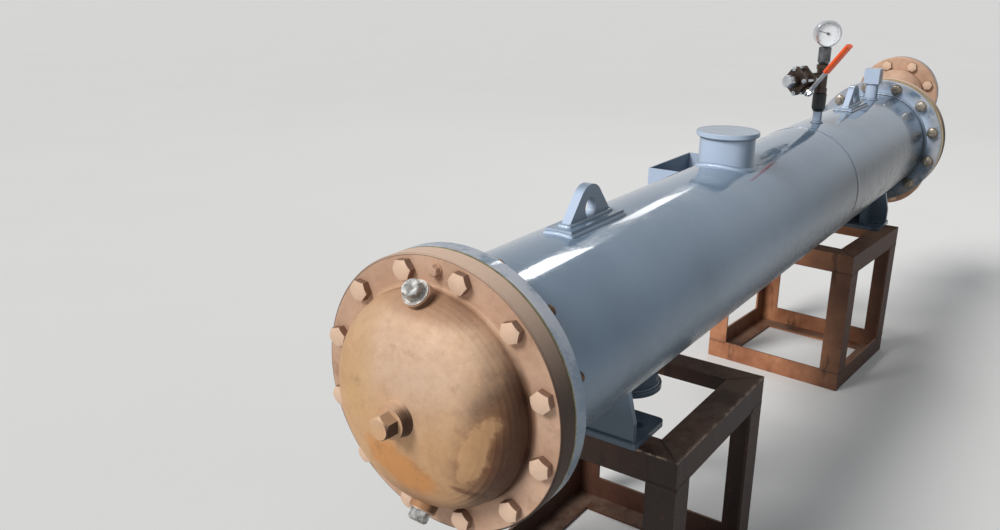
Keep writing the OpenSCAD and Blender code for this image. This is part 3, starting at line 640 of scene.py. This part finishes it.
# %% Draw the dial
GAUGE_ANGLE = math.radians(212)
dial_out = np.array([math.cos(GAUGE_ANGLE), math.sin(GAUGE_ANGLE), 0])
dial_right = np.array([-dial_out[1], dial_out[0], 0])
dial_frame = np.column_stack([dial_right, [0, 0, 1], dial_out])
DIAL_T, INK_CLEAR, INK_T = 0.001, 0.00015, 0.0002
dial_centre = middle("gauge_dial") + dial_out * (DIAL_T / 2 + INK_CLEAR)
DIAL_R = float(high("gauge_dial")[2] - low("gauge_dial")[2]) / 2
SWEEP_START, SWEEP, DIVISIONS = math.radians(225), math.radians(-270), 50
TICK_OUT, MAJOR_IN, MINOR_IN, MAJOR_W, MINOR_W = 0.90, 0.78, 0.84, 0.0007, 0.0003
POINTER_ANGLE = math.radians(163)
POINTER_TAIL, POINTER_OUT, POINTER_W, POINTER_T = -0.006, 0.80, 0.0011, 0.0005
HUB_R, HUB_H, HUB_CLEAR = 0.0030, 0.0016, 0.0004


def bar(inner, outer, width, angle, thickness=INK_T):
    """Thin box from radius inner to outer at an angle on the dial."""
    x = np.array([inner, outer, outer, inner])
    y = np.array([-1, -1, 1, 1]) * width / 2
    flat = np.column_stack([x, y])
    c, s = np.cos(angle), np.sin(angle)
    flat = flat @ np.array([[c, s], [-s, c]])
    points = np.vstack([np.column_stack([flat, np.full(4, h)]) for h in (0, thickness)])
    faces = np.array([[3, 2, 1, 0], [4, 5, 6, 7], [0, 1, 5, 4], [1, 2, 6, 5], [2, 3, 7, 6], [3, 0, 4, 7]])
    return points, faces


def on_dial(points, faces):
    """A part drawn flat on the dial, turned and moved to the gauge."""
    return points @ dial_frame.T + dial_centre, faces


marks = []
for k in range(DIVISIONS + 1):
    start, width = (MINOR_IN, MINOR_W) if k % 5 else (MAJOR_IN, MAJOR_W)
    marks.append(bar(DIAL_R * start, DIAL_R * TICK_OUT, width, SWEEP_START + SWEEP * k / DIVISIONS))
scale_piece = piece("gauge_scale", *on_dial(*joined(*marks)), slot="black_fitting")

needle = joined(bar(POINTER_TAIL, DIAL_R * POINTER_OUT, POINTER_W, POINTER_ANGLE, POINTER_T),
                turned([HUB_R, HUB_R], [0, HUB_H], END_SIDES))
pointer = piece("gauge_pointer", *on_dial(needle[0] + [0, 0, HUB_CLEAR], needle[1]), slot="black_fitting")

# %% [markdown]
# Arithmetic on surfaces
#
# A finish is a graph of nodes, and most of them are plain sums. Wrapping a socket in a small class
# lets the sums be written as Python: `rust * 0.4 + 0.2` adds two Math nodes. The reflected forms
# are there so that the number may also stand on the left.

# %% Write sums on sockets
def srgb(red, green, blue):
    """Colour as picked on a screen, 0 to 255, turned into the linear values that shaders use."""
    c = np.array([red, green, blue]) / 255
    linear = np.where(c <= 0.04045, c / 12.92, ((c + 0.055) / 1.055) ** 2.4)
    return (*linear.tolist(), 1.0)


class Field:
    """A value that varies over the surface."""

    def __init__(self, graph, socket):
        self.graph, self.socket = graph, socket

    def operate(self, operation, *values):
        """One Math node over one or two values, each a field or a number."""
        return self.graph.node("ShaderNodeMath", {"operation": operation}, dict(enumerate(values)))

    def __add__(self, other):
        return self.operate("ADD", self, other)

    def __radd__(self, other):
        return self.operate("ADD", other, self)

    def __sub__(self, other):
        return self.operate("SUBTRACT", self, other)

    def __rsub__(self, other):
        return self.operate("SUBTRACT", other, self)

    def __mul__(self, other):
        return self.operate("MULTIPLY", self, other)

    def __rmul__(self, other):
        return self.operate("MULTIPLY", other, self)

    def __pow__(self, other):
        return self.operate("POWER", self, other)

    def __neg__(self):
        return 0.0 - self

    def __abs__(self):
        return self.operate("ABSOLUTE", self)

    def larger(self, other):
        """The larger of two values."""
        return self.operate("MAXIMUM", self, other)


print("a middle grey on screen is", round(srgb(128, 128, 128)[0], 3), "in the shader")

# %% [markdown]
# Nodes by one method
#
# Every node that isn't a sum comes from one method, which takes its kind, its settings, its inputs
# and the output asked for. A material and the world are both graphs, and what a finish needs more
# often than once, such as cloudy noise or a smooth step, gets a short name of its own.

# %% Wrap graphs and materials
class Graph:
    """The nodes of a material or of the world, emptied to start with."""

    def __init__(self, owner):
        owner.use_nodes = True
        self.tree = owner.node_tree
        self.tree.nodes.clear()

    def join(self, socket, value):
        """Links a field to a socket, or sets the socket's own value."""
        if isinstance(value, Field):
            self.tree.links.new(value.socket, socket)
        else:
            socket.default_value = value

    def make(self, kind, settings=None, inputs=None):
        """Makes a node: its settings first, then its sockets."""
        made = self.tree.nodes.new(kind)
        for key, value in (settings or {}).items():
            setattr(made, key, value)
        for key, value in (inputs or {}).items():
            self.join(made.inputs[key], value)
        return made

    def node(self, kind, settings=None, inputs=None, out=0):
        """Makes a node and hands back one output as a field."""
        return Field(self, self.make(kind, settings, inputs).outputs[out])

    def split(self, vector):
        """X, Y and Z of a vector."""
        parts = self.make("ShaderNodeSeparateXYZ", {}, {0: vector}).outputs
        return [Field(self, part) for part in parts]


class Finish(Graph):
    """A material being built."""

    def __init__(self, name):
        self.material = bpy.data.materials.new(name)
        super().__init__(self.material)
        self.shader = self.make("ShaderNodeBsdfPrincipled")
        self.make("ShaderNodeOutputMaterial", {}, {0: Field(self, self.shader.outputs[0])})
        self.place = self.node("ShaderNodeTexCoord", out="Object")

    def axes(self):
        """X, Y and Z of the place."""
        return self.split(self.place)

    def normal(self):
        """X, Y and Z of the surface's normal."""
        return self.split(self.node("ShaderNodeNewGeometry", out="Normal"))

    def from_axis(self):
        """Distance from the exchanger's axis."""
        _, y, z = self.axes()
        return ((y - AXIS_Y) ** 2 + (z - AXIS_Z) ** 2) ** 0.5

    def noise(self, scale, detail=3.0, rough=0.55, at=None):
        """Cloudy value around 0.5."""
        return self.node("ShaderNodeTexNoise", {}, {"Vector": at or self.place, "Scale": scale,
                                                    "Detail": detail, "Roughness": rough})

    def stretched(self, x, y, z):
        """The place, stretched by a factor along each axis."""
        return self.node("ShaderNodeMapping", {}, {"Vector": self.place, "Scale": (x, y, z)})

    def band(self, value, start, end):
        """0 below start, 1 above end, smooth between."""
        return self.node("ShaderNodeMapRange", {"interpolation_type": "SMOOTHSTEP"},
                         {"Value": value, "From Min": start, "From Max": end})

    def patches(self, scale, detail, rough, start, end):
        """Cloudy patches: noise of a scale, cut by a band."""
        return self.band(self.noise(scale, detail, rough), start, end)

    def blob(self, centre, half, tilt, soft=0.35, ragged=0.5, grain=26):
        """1 inside an ellipse across the axis, 0 outside, with a soft and ragged edge.

        centre is Y and Z from the axis, half the two half sizes, and tilt turns them from +Y
        towards +Z in degrees. Noise of the given grain moves the edge by up to ragged of its size."""
        _, y, z = self.axes()
        dy, dz = y - (AXIS_Y + centre[0]), z - (AXIS_Z + centre[1])
        c, s = math.cos(math.radians(tilt)), math.sin(math.radians(tilt))
        u, v = (dy * c + dz * s) * (1 / half[0]), (dz * c - dy * s) * (1 / half[1])
        far = (u ** 2 + v ** 2) ** 0.5 + (self.noise(grain, 4.0, 0.6) - 0.5) * (2 * ragged)
        return 1 - self.band(far, 1 - soft, 1 + soft)

    def tint(self, under, over, share):
        """Colour mixed from under to over, each a field or a screen colour."""
        ends = [c if isinstance(c, Field) else srgb(*c) for c in (under, over)]
        return self.node("ShaderNodeMix", {"data_type": "RGBA"}, {0: share, 6: ends[0], 7: ends[1]}, 2)

    def layered(self, colour, *layers):
        """A colour with others laid over it in turn, each with its share."""
        for shade, share in layers:
            colour = self.tint(colour, shade, share)
        return colour

    def bump(self, height, depth):
        """Normal bent by a height field that is depth metres deep."""
        return self.node("ShaderNodeBump", {}, {"Height": height, "Strength": 1.0, "Distance": depth})

    def surface(self, **sockets):
        """Sets the shader's sockets, named with underscores for spaces. Hands back the material."""
        for key, value in sockets.items():
            self.join(self.shader.inputs[key.replace("_", " ")], value)
        return self.material


print("short names for nodes", [name for name in vars(Finish) if not name.startswith("__")])

# %% [markdown]
# Painted steel
#
# The shell is sprayed with a glossy blue-grey enamel. Up close it has orange peel, a fine soft
# bump. From further off the colour drifts, a little dust lies on what faces up, and dry overspray
# whitens the flange rims, painted brighter as light where a rim face turns to the front or up.
# Faces turned to the front, above the axis, are painted paler as light. The flank of the rear
# length is darkened as painted shade, standing for the dark surroundings it reflects, the parts
# below the shell carry a painted shade, and the underside is dull with brown grime that is partly
# painted shade.

# %% Mix the enamel
MIDDLE_X, HALF_LENGTH = (FRONT_X + REAR_X) / 2, (REAR_X - FRONT_X) / 2


def enamel_finish():
    """Blue-grey enamel with orange peel, dust and overspray, dirt and painted shade below, and painted light on
    faces turned to the front.
    """
    f = Finish("blue_grey_enamel")
    x, _, z = f.axes()
    nx, _, up = f.normal()
    radius = f.from_axis()
    fine = f.noise(38, 5.0, 0.65)
    base = f.tint((95, 116, 137), (118, 139, 160), f.patches(2.2, 4.0, 0.55, 0.32, 0.68))
    dust = f.band(up, 0.60, 1.0) * f.patches(9, 6.0, 0.7, 0.48, 0.74) * 0.22
    ends = f.band(abs(x - MIDDLE_X), HALF_LENGTH - 0.045, HALF_LENGTH - 0.035)
    rim = ends * f.band(radius, SHELL_R + 0.006, FLANGE_R - 0.010)
    # Overspray on the rims, painted brighter on rim faces turned to the front or up, as painted light.
    facing_light = f.band((-nx).larger(up), 0.1, 0.8)
    spray_and_light = rim * (0.25 + 0.75 * facing_light) * f.patches(26, 5.0, 0.7, 0.34, 0.58) * 0.72
    # Painted light: faces turned to the front, above the axis, are painted pale as if lit.
    painted_front_light = f.band(-nx, 0.25, 0.85) * f.band(z, AXIS_Z - 0.02, AXIS_Z + 0.04) * (1 - rim)
    # Painted shade on the flank of the rear length, standing for the dark surroundings it reflects.
    flank = f.band(-up, -0.75, -0.20) * (1 - f.band(radius, SHELL_R + 0.003, SHELL_R + 0.006))
    rear_flank_shade = flank * f.band(x, GIRTH_X - 0.45, GIRTH_X + 0.05)
    # Painted shade below the shell, where the saddles stand.
    shade_below = 1 - f.band(z, AXIS_Z - SHELL_R - 0.02, AXIS_Z - SHELL_R + 0.03)
    # Grime on faces that look down, partly a painted shade.
    grime_and_shade = f.band(-up, -0.30, 0.60) * (0.30 + 0.5 * fine)
    colour = f.layered(base,
                       ((180, 184, 188), dust),
                       ((198, 198, 204), spray_and_light),
                       ((206, 222, 246), painted_front_light * 0.75),
                       ((44, 54, 62), rear_flank_shade * 0.80),
                       ((52, 60, 68), shade_below * 0.60),
                       ((78, 76, 66), grime_and_shade),
                       ((84, 90, 98), f.patches(240, 2.0, 0.5, 0.72, 0.80) * 0.30))
    rough = 0.10 + 0.10 * f.band(fine, 0.35, 0.75) + dust * 0.7 + spray_and_light * 0.5 + grime_and_shade * 0.30
    peel = f.noise(420, 2.0, 0.5) * 0.12 + f.noise(90, 3.0, 0.55) * 0.30 + f.noise(11, 2.0) * 1.5
    coat = 0.05 + f.band(up, 0.25, 0.70) * (0.68 - dust - spray_and_light)
    return f.surface(Base_Color=colour, Roughness=rough, Normal=f.bump(peel, 0.0006),
                     Coat_Weight=coat, Coat_Roughness=0.04, Specular_IOR_Level=0.20)


enamel = enamel_finish()
print(enamel.name, len(enamel.node_tree.nodes), "nodes")

# %% [markdown]
# Cast bronze
#
# The cover and the channel are sand castings. The flange faces are turned and keep fine rings, the
# dish keeps the sand's grain. Handling and heat left golden and orange blooms, brown stains towards
# the cover's -Y side, and a lighter patch where a flaw was filled. The pale crown is partly a
# pinkish tone and partly a painted highlight on the dish's upper part, and the darkest brown at the
# dish's -Y edge is painted shade with some stain in it. Each is an ellipse with a ragged edge,
# placed on the cover by its distance from the axis. Painted shade darkens what faces -Y and the -Y
# side of the centre boss, and the flanges' rims are painted pale on top and nearly black at the
# side, as light and shade.

# %% Cast the bronze finish
# centre Y and Z, half sizes (m), tilt (degrees), softness of the edge, colour, share
COVER_STAINS_AND_PAINTED_LIGHT = (
    # the pale crown: partly the bronze's tone, partly a painted highlight on the dish's upper part
    ((-0.018, 0.072), (0.092, 0.062), 0, 0.60, (206, 178, 156), 0.75),
    ((0.072, 0.035), (0.030, 0.062), 8, 0.60, (192, 156, 104), 0.40),
    ((0.006, -0.066), (0.052, 0.027), 21, 0.28, (196, 130, 62), 0.70),
    # painted shade on the dish's -Y side, with some brown stain in it
    ((-0.152, -0.010), (0.062, 0.140), 6, 0.50, (58, 30, 16), 0.90),
    ((-0.030, -0.128), (0.095, 0.022), 8, 0.60, (134, 92, 62), 0.55),
    ((-0.078, -0.076), (0.013, 0.004), 20, 0.45, (104, 66, 44), 0.80),
    ((-0.109, -0.042), (0.004, 0.010), 10, 0.45, (104, 66, 44), 0.70),
    ((-0.112, -0.020), (0.026, 0.062), 19, 0.50, (142, 94, 60), 0.50),
    ((-0.030, 0.126), (0.060, 0.012), 0, 0.60, (140, 98, 70), 0.55),
)
FILLED_FLAW = ((-0.098, -0.020), (0.014, 0.050), 19)
DISH_R, DISH_FADE, COVER_FADE = 0.146, 0.016, 0.008
CROWN_X = float(low("cover_plug")[0]) + 0.036
RING_RATE = 5200.0  # radians of the turning's wave per metre of radius: rings 1.2 mm apart


def bronze_finish(name, rubbed_light_and_shade=0.0):
    """Cast bronze: tan where turned, golden with pale, orange and brown patches on the dish.

    Where the last argument is over 0, faces square to X are painted pale and the others brown, partly rubbed wear
    and partly painted light and shade."""
    f = Finish(name)
    x = f.axes()[0]
    nx, ny, nz = f.normal()
    radius = f.from_axis()
    cloud, grain = f.noise(7, 5.0, 0.6), f.noise(150, 5.0, 0.65)
    dish = 1 - f.band(radius, DISH_R - DISH_FADE, DISH_R)
    cover = (1 - f.band(radius, DISH_R - COVER_FADE, DISH_R)) * (1 - f.band(x, FRONT_X - 0.02, FRONT_X))
    flange = f.tint((180, 144, 120), (206, 172, 148), f.band(cloud, 0.3, 0.7))
    golden = f.tint((172, 132, 94), (198, 158, 118), f.patches(4.5, 5.0, 0.6, 0.34, 0.66))
    patches = [(shade, cover * f.blob(centre, half, tilt, soft) * share)
               for centre, half, tilt, soft, shade, share in COVER_STAINS_AND_PAINTED_LIGHT]
    filled = cover * f.blob(*FILLED_FLAW, soft=0.22, ragged=0.8, grain=48)
    stain = f.patches(22, 6.0, 0.7, 0.55, 0.72)
    edge = f.band(radius, FLANGE_R - 0.0035, FLANGE_R - 0.0015)
    edge = edge * (1 - f.band(x, CHANNEL_BACK_X - 0.001, CHANNEL_BACK_X + 0.001))
    # Painted light and shade on the flanges' rims: pale on top, nearly black at the side.
    rim = f.tint((34, 16, 8), (216, 188, 166), f.band(nz, 0.15, 1.10))
    # Painted shade on what faces -Y, darker where the brown stains lie.
    minus_y_shade = f.band(-ny - nz * 0.5 + (cloud - 0.5) * 0.5, 0.50, 0.85) * cover
    boss = (1 - f.band(radius, 0.022, 0.030)) * f.band(-x, -CROWN_X, 0.004 - CROWN_X)
    # Painted shade on the -Y side of the centre boss.
    boss_shade = boss * f.band(-ny, 0.30, 0.80)
    colour = f.layered(f.tint(flange, golden, dish), *patches,
                       ((206, 164, 118), filled * 0.55),
                       ((128, 90, 66), stain * 0.38),
                       ((150, 112, 82), f.patches(60, 5.0, 0.7, 0.40, 0.70) * 0.22),
                       ((236, 214, 190), dish * f.patches(420, 1.0, 0.5, 0.76, 0.80) * 0.6),
                       (rim, edge * 0.95),
                       ((48, 22, 10), minus_y_shade * (0.70 + 0.3 * stain)),
                       ((50, 24, 12), boss_shade * 0.80))
    # Painted light and shade on the bolt heads: faces square to X pale, their sides brown.
    if rubbed_light_and_shade:
        colour = f.layered(colour, ((226, 198, 174), abs(nx) * rubbed_light_and_shade),
                           ((84, 54, 38), (1 - abs(nx)) * rubbed_light_and_shade))
    rings = f.node("ShaderNodeMath", {"operation": "SINE"}, {0: radius * RING_RATE})
    turned_face = f.band(radius, 0.150, 0.156) * 0.10
    height = grain * 0.6 + f.noise(46, 4.0, 0.6) * 0.3 + rings * turned_face + filled * 0.5
    return f.surface(Base_Color=colour, Metallic=0.30, Roughness=0.56 + 0.20 * grain - filled * 0.08,
                     Normal=f.bump(height, 0.0009), Specular_IOR_Level=0.5)


bronze = bronze_finish("cast_bronze")
bolt_bronze = bronze_finish("bolt_bronze", 0.65)
print(bronze.name, len(bronze.node_tree.nodes), "nodes")

# %% [markdown]
# Primed angle iron
#
# The stands were brushed once with red oxide primer over mill scale. The primer is thin and dark
# brown. The rear stand is painted redder and paler, most on its faces towards -X, as painted light,
# and both stands darken towards -Y as painted shade. Their upper faces are dusty, and the front
# stand's outer top edges are worn bare and painted pale, partly as a highlight along the edge.

# %% Prime the stands
FRONT_STAND_X, FRONT_STAND_Y = middle("front_stand_top")[:2].tolist()
FRONT_STAND_TOP = float(high("front_stand_top")[2])
BETWEEN_STANDS = (-0.2, 0.1)


def oxide_finish(name, darker=0.0):
    """Thin dark primer over scale, with dust on top, rust spots, painted light that reddens the rear stand, and
    painted shade.
    """
    f = Finish(name)
    x, y, z = f.axes()
    nx, _, up = f.normal()
    wide = f.noise(5, 6.0, 0.65)
    cloudy = f.band(wide, 0.34, 0.66)
    rear = f.band(x, *BETWEEN_STANDS)
    dark = f.tint((56, 36, 27), (86, 54, 40), cloudy)
    # Painted light: this redder, paler primer is laid on the rear stand, most on its faces towards -X.
    red = f.tint((150, 94, 64), (206, 144, 104), cloudy)
    shaded_side = f.band(-y, -0.02, 0.16) * (1 - f.band(up, 0.5, 0.9))
    bare = f.band(f.noise(16, 5.0, 0.7, f.stretched(1, 1, 0.22)), 0.54, 0.68)
    spots = f.patches(75, 4.0, 0.7, 0.62, 0.72)
    dust = f.band(up, 0.5, 1.0) * f.patches(12, 6.0, 0.7, 0.36, 0.62)
    # The front stand's outer top edges are worn bare and painted pale, partly as a highlight along the edge.
    outer = (abs(x - FRONT_STAND_X) - STAND_HALF_X).larger(abs(y - FRONT_STAND_Y) - STAND_HALF_Y)
    worn_edge_and_highlight = f.band(outer, -0.006, -0.001) * f.band(z, FRONT_STAND_TOP - 0.004, FRONT_STAND_TOP - 0.001)
    worn_edge_and_highlight = worn_edge_and_highlight * (1 - rear) * f.patches(60, 4.0, 0.7, 0.38, 0.58)
    colour = f.layered(dark,
                       (red, rear * (0.25 + 0.55 * f.band(-nx, 0.4, 0.9))),
                       ((24, 13, 9), shaded_side * 0.72),
                       ((38, 28, 25), bare * 0.65),
                       ((132, 76, 46), spots * 0.4),
                       ((140, 118, 102), dust * 0.45),
                       ((168, 144, 124), worn_edge_and_highlight * 0.7),
                       ((44, 34, 30), darker))
    height = f.noise(180, 5.0, 0.7) * 0.6 + spots * 0.5 + f.noise(30, 4.0, 0.6) * 0.8 - bare * 0.3
    return f.surface(Base_Color=colour, Roughness=0.50 + 0.22 * wide - bare * 0.10 + dust * 0.20,
                     Metallic=bare * 0.3, Normal=f.bump(height, 0.0008), Specular_IOR_Level=0.35)


oxide = oxide_finish("red_oxide_primer")
oxide_weld = oxide_finish("primed_weld", 0.35)
print(oxide.name, len(oxide.node_tree.nodes), "nodes")

# %% [markdown]
# Small metals, rubber and plastic
#
# The rest are variations on one recipe: a base colour that drifts, a roughness that follows the
# wear, and a bump at the scale of how the part was made: drawn, cast, ground or dipped.

# %% Mix the small finishes
# dark and light colour, metallic, roughness, grain, depth of the grain (m), stains and their share
RECIPES = {
    "bright_zinc": ((176, 180, 186), (214, 217, 220), 0.9, 0.26, 220, 0.0003, (140, 136, 128), 0.4),
    "polished_stainless": ((186, 189, 193), (222, 224, 226), 1.0, 0.12, 300, 0.00006),
    "bare_plate": ((128, 132, 138), (160, 164, 170), 0.8, 0.42, 120, 0.0004, (120, 82, 56), 0.5),
    "pressed_steel": ((170, 173, 177), (206, 208, 210), 0.95, 0.30, 260, 0.0002),
    "rolled_brass": ((150, 122, 74), (188, 160, 104), 0.8, 0.38, 160, 0.0004, (104, 84, 52), 0.5),
    "dull_plated_nut": ((118, 108, 96), (176, 168, 156), 0.75, 0.34, 180, 0.0003, (74, 56, 42), 0.7),
    "rusty_stud": ((64, 44, 32), (122, 94, 72), 0.45, 0.50, 260, 0.0004, (88, 50, 30), 0.6),
    "plated_adapter": ((70, 72, 76), (128, 130, 132), 0.85, 0.30, 160, 0.0003, (48, 44, 40), 0.6),
    "malleable_iron": ((46, 36, 30), (78, 62, 50), 0.35, 0.38, 180, 0.0005, (30, 26, 24), 0.6),
    "black_iron": ((24, 25, 27), (44, 45, 48), 0.25, 0.42, 260, 0.0005, (78, 72, 66), 0.35),
    "pressed_gasket": ((104, 102, 74), (142, 138, 108), 0.0, 0.75, 340, 0.0003, (150, 146, 110), 0.5),
    "printed_dial": ((240, 243, 246), (248, 250, 252), 0.0, 0.40, 500, 0.00003),
    "dial_ink": ((14, 14, 16), (26, 26, 28), 0.0, 0.45, 500, 0.00003),
    "dipped_vinyl": ((222, 74, 20), (240, 92, 30), 0.0, 0.34, 140, 0.0003, (150, 62, 36), 0.35),
}


def small_finish(name, dark, light, metallic, rough, grain, depth, stains=None, stain_share=0.0):
    """Colour that drifts from dark to light, with grain of a given scale and depth."""
    f = Finish(name)
    fine = f.noise(grain, 4.0, 0.65)
    colour = f.tint(dark, light, f.patches(grain * 0.18, 5.0, 0.6, 0.3, 0.7))
    marks = f.patches(grain * 0.5, 6.0, 0.75, 0.58, 0.72)
    if stains:
        colour = f.tint(colour, stains, marks * stain_share)
    return f.surface(Base_Color=colour, Metallic=metallic, Normal=f.bump(fine, depth),
                     Roughness=rough * 0.75 + rough * 0.5 * fine + marks * 0.12)


small = {name: small_finish(name, *recipe) for name, recipe in RECIPES.items()}
print("small finishes", len(small))

# %% [markdown]
# Plugs and window
#
# The vent and drain plugs are galvanized hexagons on bronze washers, one CAD piece each, so the
# finish itself tells the washer from the head. The gauge's window is thin and clear.

# %% Finish the plugs and the window
BOSS_DEPTH, BOSS_REACH, BOSS_WAY = 0.031, 0.140, math.sqrt(0.5)


def plug_finish(name, side):
    """Dirty galvanized hexagon on a bronze washer, for the vent (side 1) or the drain (side -1).

    How far a point lies out along the boss, which leans halfway between -X and up or down, tells
    the 2 mm washer from the head."""
    f = Finish(name)
    x, _, z = f.axes()
    rise = (z - (AXIS_Z + side * BOSS_REACH)) * side
    along = (rise - (x - (COVER_FACE_X - BOSS_DEPTH))) * BOSS_WAY
    head = f.band(along, 0.0014, 0.0022)
    fine = f.noise(150, 4.0, 0.65)
    dirt = f.patches(130, 5.0, 0.7, 0.55, 0.66)
    galvanized = f.tint((116, 113, 108), (196, 196, 194), f.patches(90, 4.0, 0.6, 0.36, 0.62))
    galvanized = f.tint(galvanized, (70, 60, 50), dirt * 0.65)
    washer_colour = f.tint((150, 116, 90), (188, 156, 128), fine)
    return f.surface(Base_Color=f.tint(washer_colour, galvanized, head), Metallic=0.3 + head * 0.4,
                     Roughness=0.55 - head * 0.18 + dirt * 0.15, Normal=f.bump(fine, 0.0006))


def window_finish():
    """Thin clear window: nearly all of it lets light through, its face still shines."""
    f = Finish("clear_window")
    smear = f.patches(60, 4.0, 0.6, 0.45, 0.75)
    f.material.surface_render_method = "BLENDED"
    return f.surface(Base_Color=srgb(236, 242, 244), Roughness=0.03 + smear * 0.05,
                     Alpha=0.04 + smear * 0.04, Specular_IOR_Level=0.6)


window = window_finish()
vent_metal, drain_metal = plug_finish("vent_plug_metal", 1), plug_finish("drain_plug_metal", -1)
print(vent_metal.name, len(vent_metal.node_tree.nodes), "nodes")

# %% [markdown]
# Dressing
#
# Each CAD piece names the kind of surface it has, its slot, and takes the finish of that slot. A
# few pieces share a slot with others and still look different, so they come after it.

# %% Give every piece its finish
FINISH_OF_SLOT = {
    "shell_paint": enamel, "bronze": bronze, "gasket": small["pressed_gasket"],
    "tubesheet_brass": small["rolled_brass"], "plate_steel": small["bare_plate"],
    "oxide_steel": oxide, "black_fitting": small["black_iron"], "zinc": small["bright_zinc"],
    "gauge_metal": small["polished_stainless"], "dial_white": small["printed_dial"],
    "gauge_window": window, "lever_steel": small["pressed_steel"],
    "lever_grip": small["dipped_vinyl"],
}
OTHER_FINISHES = (
    (nodes["gauge_adapter"], small["plated_adapter"]), (nodes["gauge_tee"], small["malleable_iron"]),
    (nodes["valve_body"], small["malleable_iron"]), (nodes["vent_plug"], vent_metal),
    (nodes["drain_plug"], drain_metal), (cover_bolts, bolt_bronze),
    (cover_bolt_ends, small["rusty_stud"]), (channel_nuts, small["dull_plated_nut"]),
    (channel_heads, bolt_bronze), (nozzle_heads, bolt_bronze), (nozzle_nuts, small["bright_zinc"]),
    (nozzle_shanks, small["bright_zinc"]), (jack_screw, bronze),
    (valve_stud_piece, small["bright_zinc"]), (shell_welds, enamel), (foot_welds, enamel),
    (stand_welds, oxide_weld), (scale_piece, small["dial_ink"]), (pointer, small["dial_ink"]),
)


def dress(thing, finish):
    """Puts one material on a whole piece."""
    thing.data.materials.clear()
    thing.data.materials.append(finish)


for part in frame["record"]["subparts"]:
    dress(nodes[part["node"]], FINISH_OF_SLOT[part["material_slot"]])
for thing, finish in OTHER_FINISHES:
    dress(thing, finish)
print("finishes", len(bpy.data.materials))

# %% [markdown]
# The floor
#
# A pale floor takes the shadows. It is so wide that its far edge lies near the level of the eye,
# and close to the backdrop's tone, so that no line shows where it ends.

# %% Lay the floor
FLOOR_HALF, FLOOR_SINK = 400.0, 0.0005
floor_points = np.array([[-1, -1, 0], [1, -1, 0], [1, 1, 0], [-1, 1, 0]], float) * FLOOR_HALF
floor_mesh = bpy.data.meshes.new("floor")
floor_mesh.from_pydata((floor_points - [0, 0, FLOOR_SINK]).tolist(), [], [(0, 1, 2, 3)])
floor = bpy.data.objects.new("floor", floor_mesh)
bpy.context.scene.collection.objects.link(floor)
f = Finish("pale_floor")
floor_colour = f.tint((218, 218, 217), (223, 223, 222), f.noise(1.3, 4.0, 0.6))
dress(floor, f.surface(Base_Color=floor_colour, Roughness=0.7))
print("floor", 2 * FLOOR_HALF, "m wide")

# %% [markdown]
# The lamps
#
# One wide sun from behind the camera's left gives the dish a bright and a shaded side. Two soft
# boxes stand far off beyond the shell. They are there to be reflected in the paint, as the bright
# streaks along its top.

# %% Light the exchanger
KEY_TOWARDS, KEY_STRENGTH, KEY_SPREAD, KEY_COLOUR = (0.70, -0.27, -0.64), 2.7, 22, (1.0, 0.985, 0.96)
BOX_DISTANCE = 5.0


def lamp_at(data, facing, place=(0, 0, 0)):
    """Puts a lamp at a place, its back turned towards facing."""
    lamp = bpy.data.objects.new(data.name, data)
    bpy.context.scene.collection.objects.link(lamp)
    turned_to = Matrix(frame_along(facing).tolist()).to_4x4()
    lamp.matrix_world = Matrix.Translation(tuple(place)) @ turned_to
    return lamp


def softbox(name, aimed_at, way, width, height, radiance):
    """Rectangular lamp in the direction way from a point, as bright as radiance when looked at.

    Its power is radiance times area times pi. The camera doesn't see it, glossy paint does."""
    data = bpy.data.lights.new(name, "AREA")
    data.shape, data.size, data.size_y = "RECTANGLE", width, height
    data.energy = radiance * width * height * math.pi
    way = np.array(way) / np.linalg.norm(way)
    lamp_at(data, way, (np.array(aimed_at) + way * BOX_DISTANCE).tolist()).visible_camera = False
    print(name, round(data.energy, 2), "watts")


key = bpy.data.lights.new("key", "SUN")
key.energy, key.angle, key.color = KEY_STRENGTH, math.radians(KEY_SPREAD), KEY_COLOUR
lamp_at(key, -np.array(KEY_TOWARDS))
softbox("far_panel", AXIS + [FRONT_X + 0.121, -0.046, 0.129], (0.80, 0.19, 0.57), 0.8, 0.5, 11.0)
softbox("far_strip", AXIS + [FRONT_X + 0.450, -0.030, 0.133], (0.87, 0.26, 0.41), 0.4, 0.5, 4.0)

# %% [markdown]
# The backdrop
#
# The world is a pale backdrop and gives the soft light. It is bright for the camera, for
# reflections and through the window, and dimmer as a lamp, so that colours come out as written.

# %% Hang the backdrop
AS_LAMP, AS_SEEN, BACKDROP_COLOUR = 0.36, 0.70, (0.95, 0.97, 1.0, 1.0)
world = bpy.data.worlds.new("studio")
bpy.context.scene.world = world
room = Graph(world)
rays = room.make("ShaderNodeLightPath").outputs
seen, mirrored, through = [Field(room, rays[kind]) for kind in
                           ("Is Camera Ray", "Is Glossy Ray", "Is Transmission Ray")]
level = room.node("ShaderNodeMapRange", {}, {"Value": seen.larger(mirrored).larger(through),
                                             "To Min": AS_LAMP, "To Max": AS_SEEN})
light = room.node("ShaderNodeBackground", {}, {"Color": BACKDROP_COLOUR, "Strength": level})
room.make("ShaderNodeOutputWorld", {}, {0: light})
bpy.context.scene.view_settings.view_transform = "Standard"
print("backdrop", AS_LAMP, "as a lamp,", AS_SEEN, "as seen")

# %% [markdown]
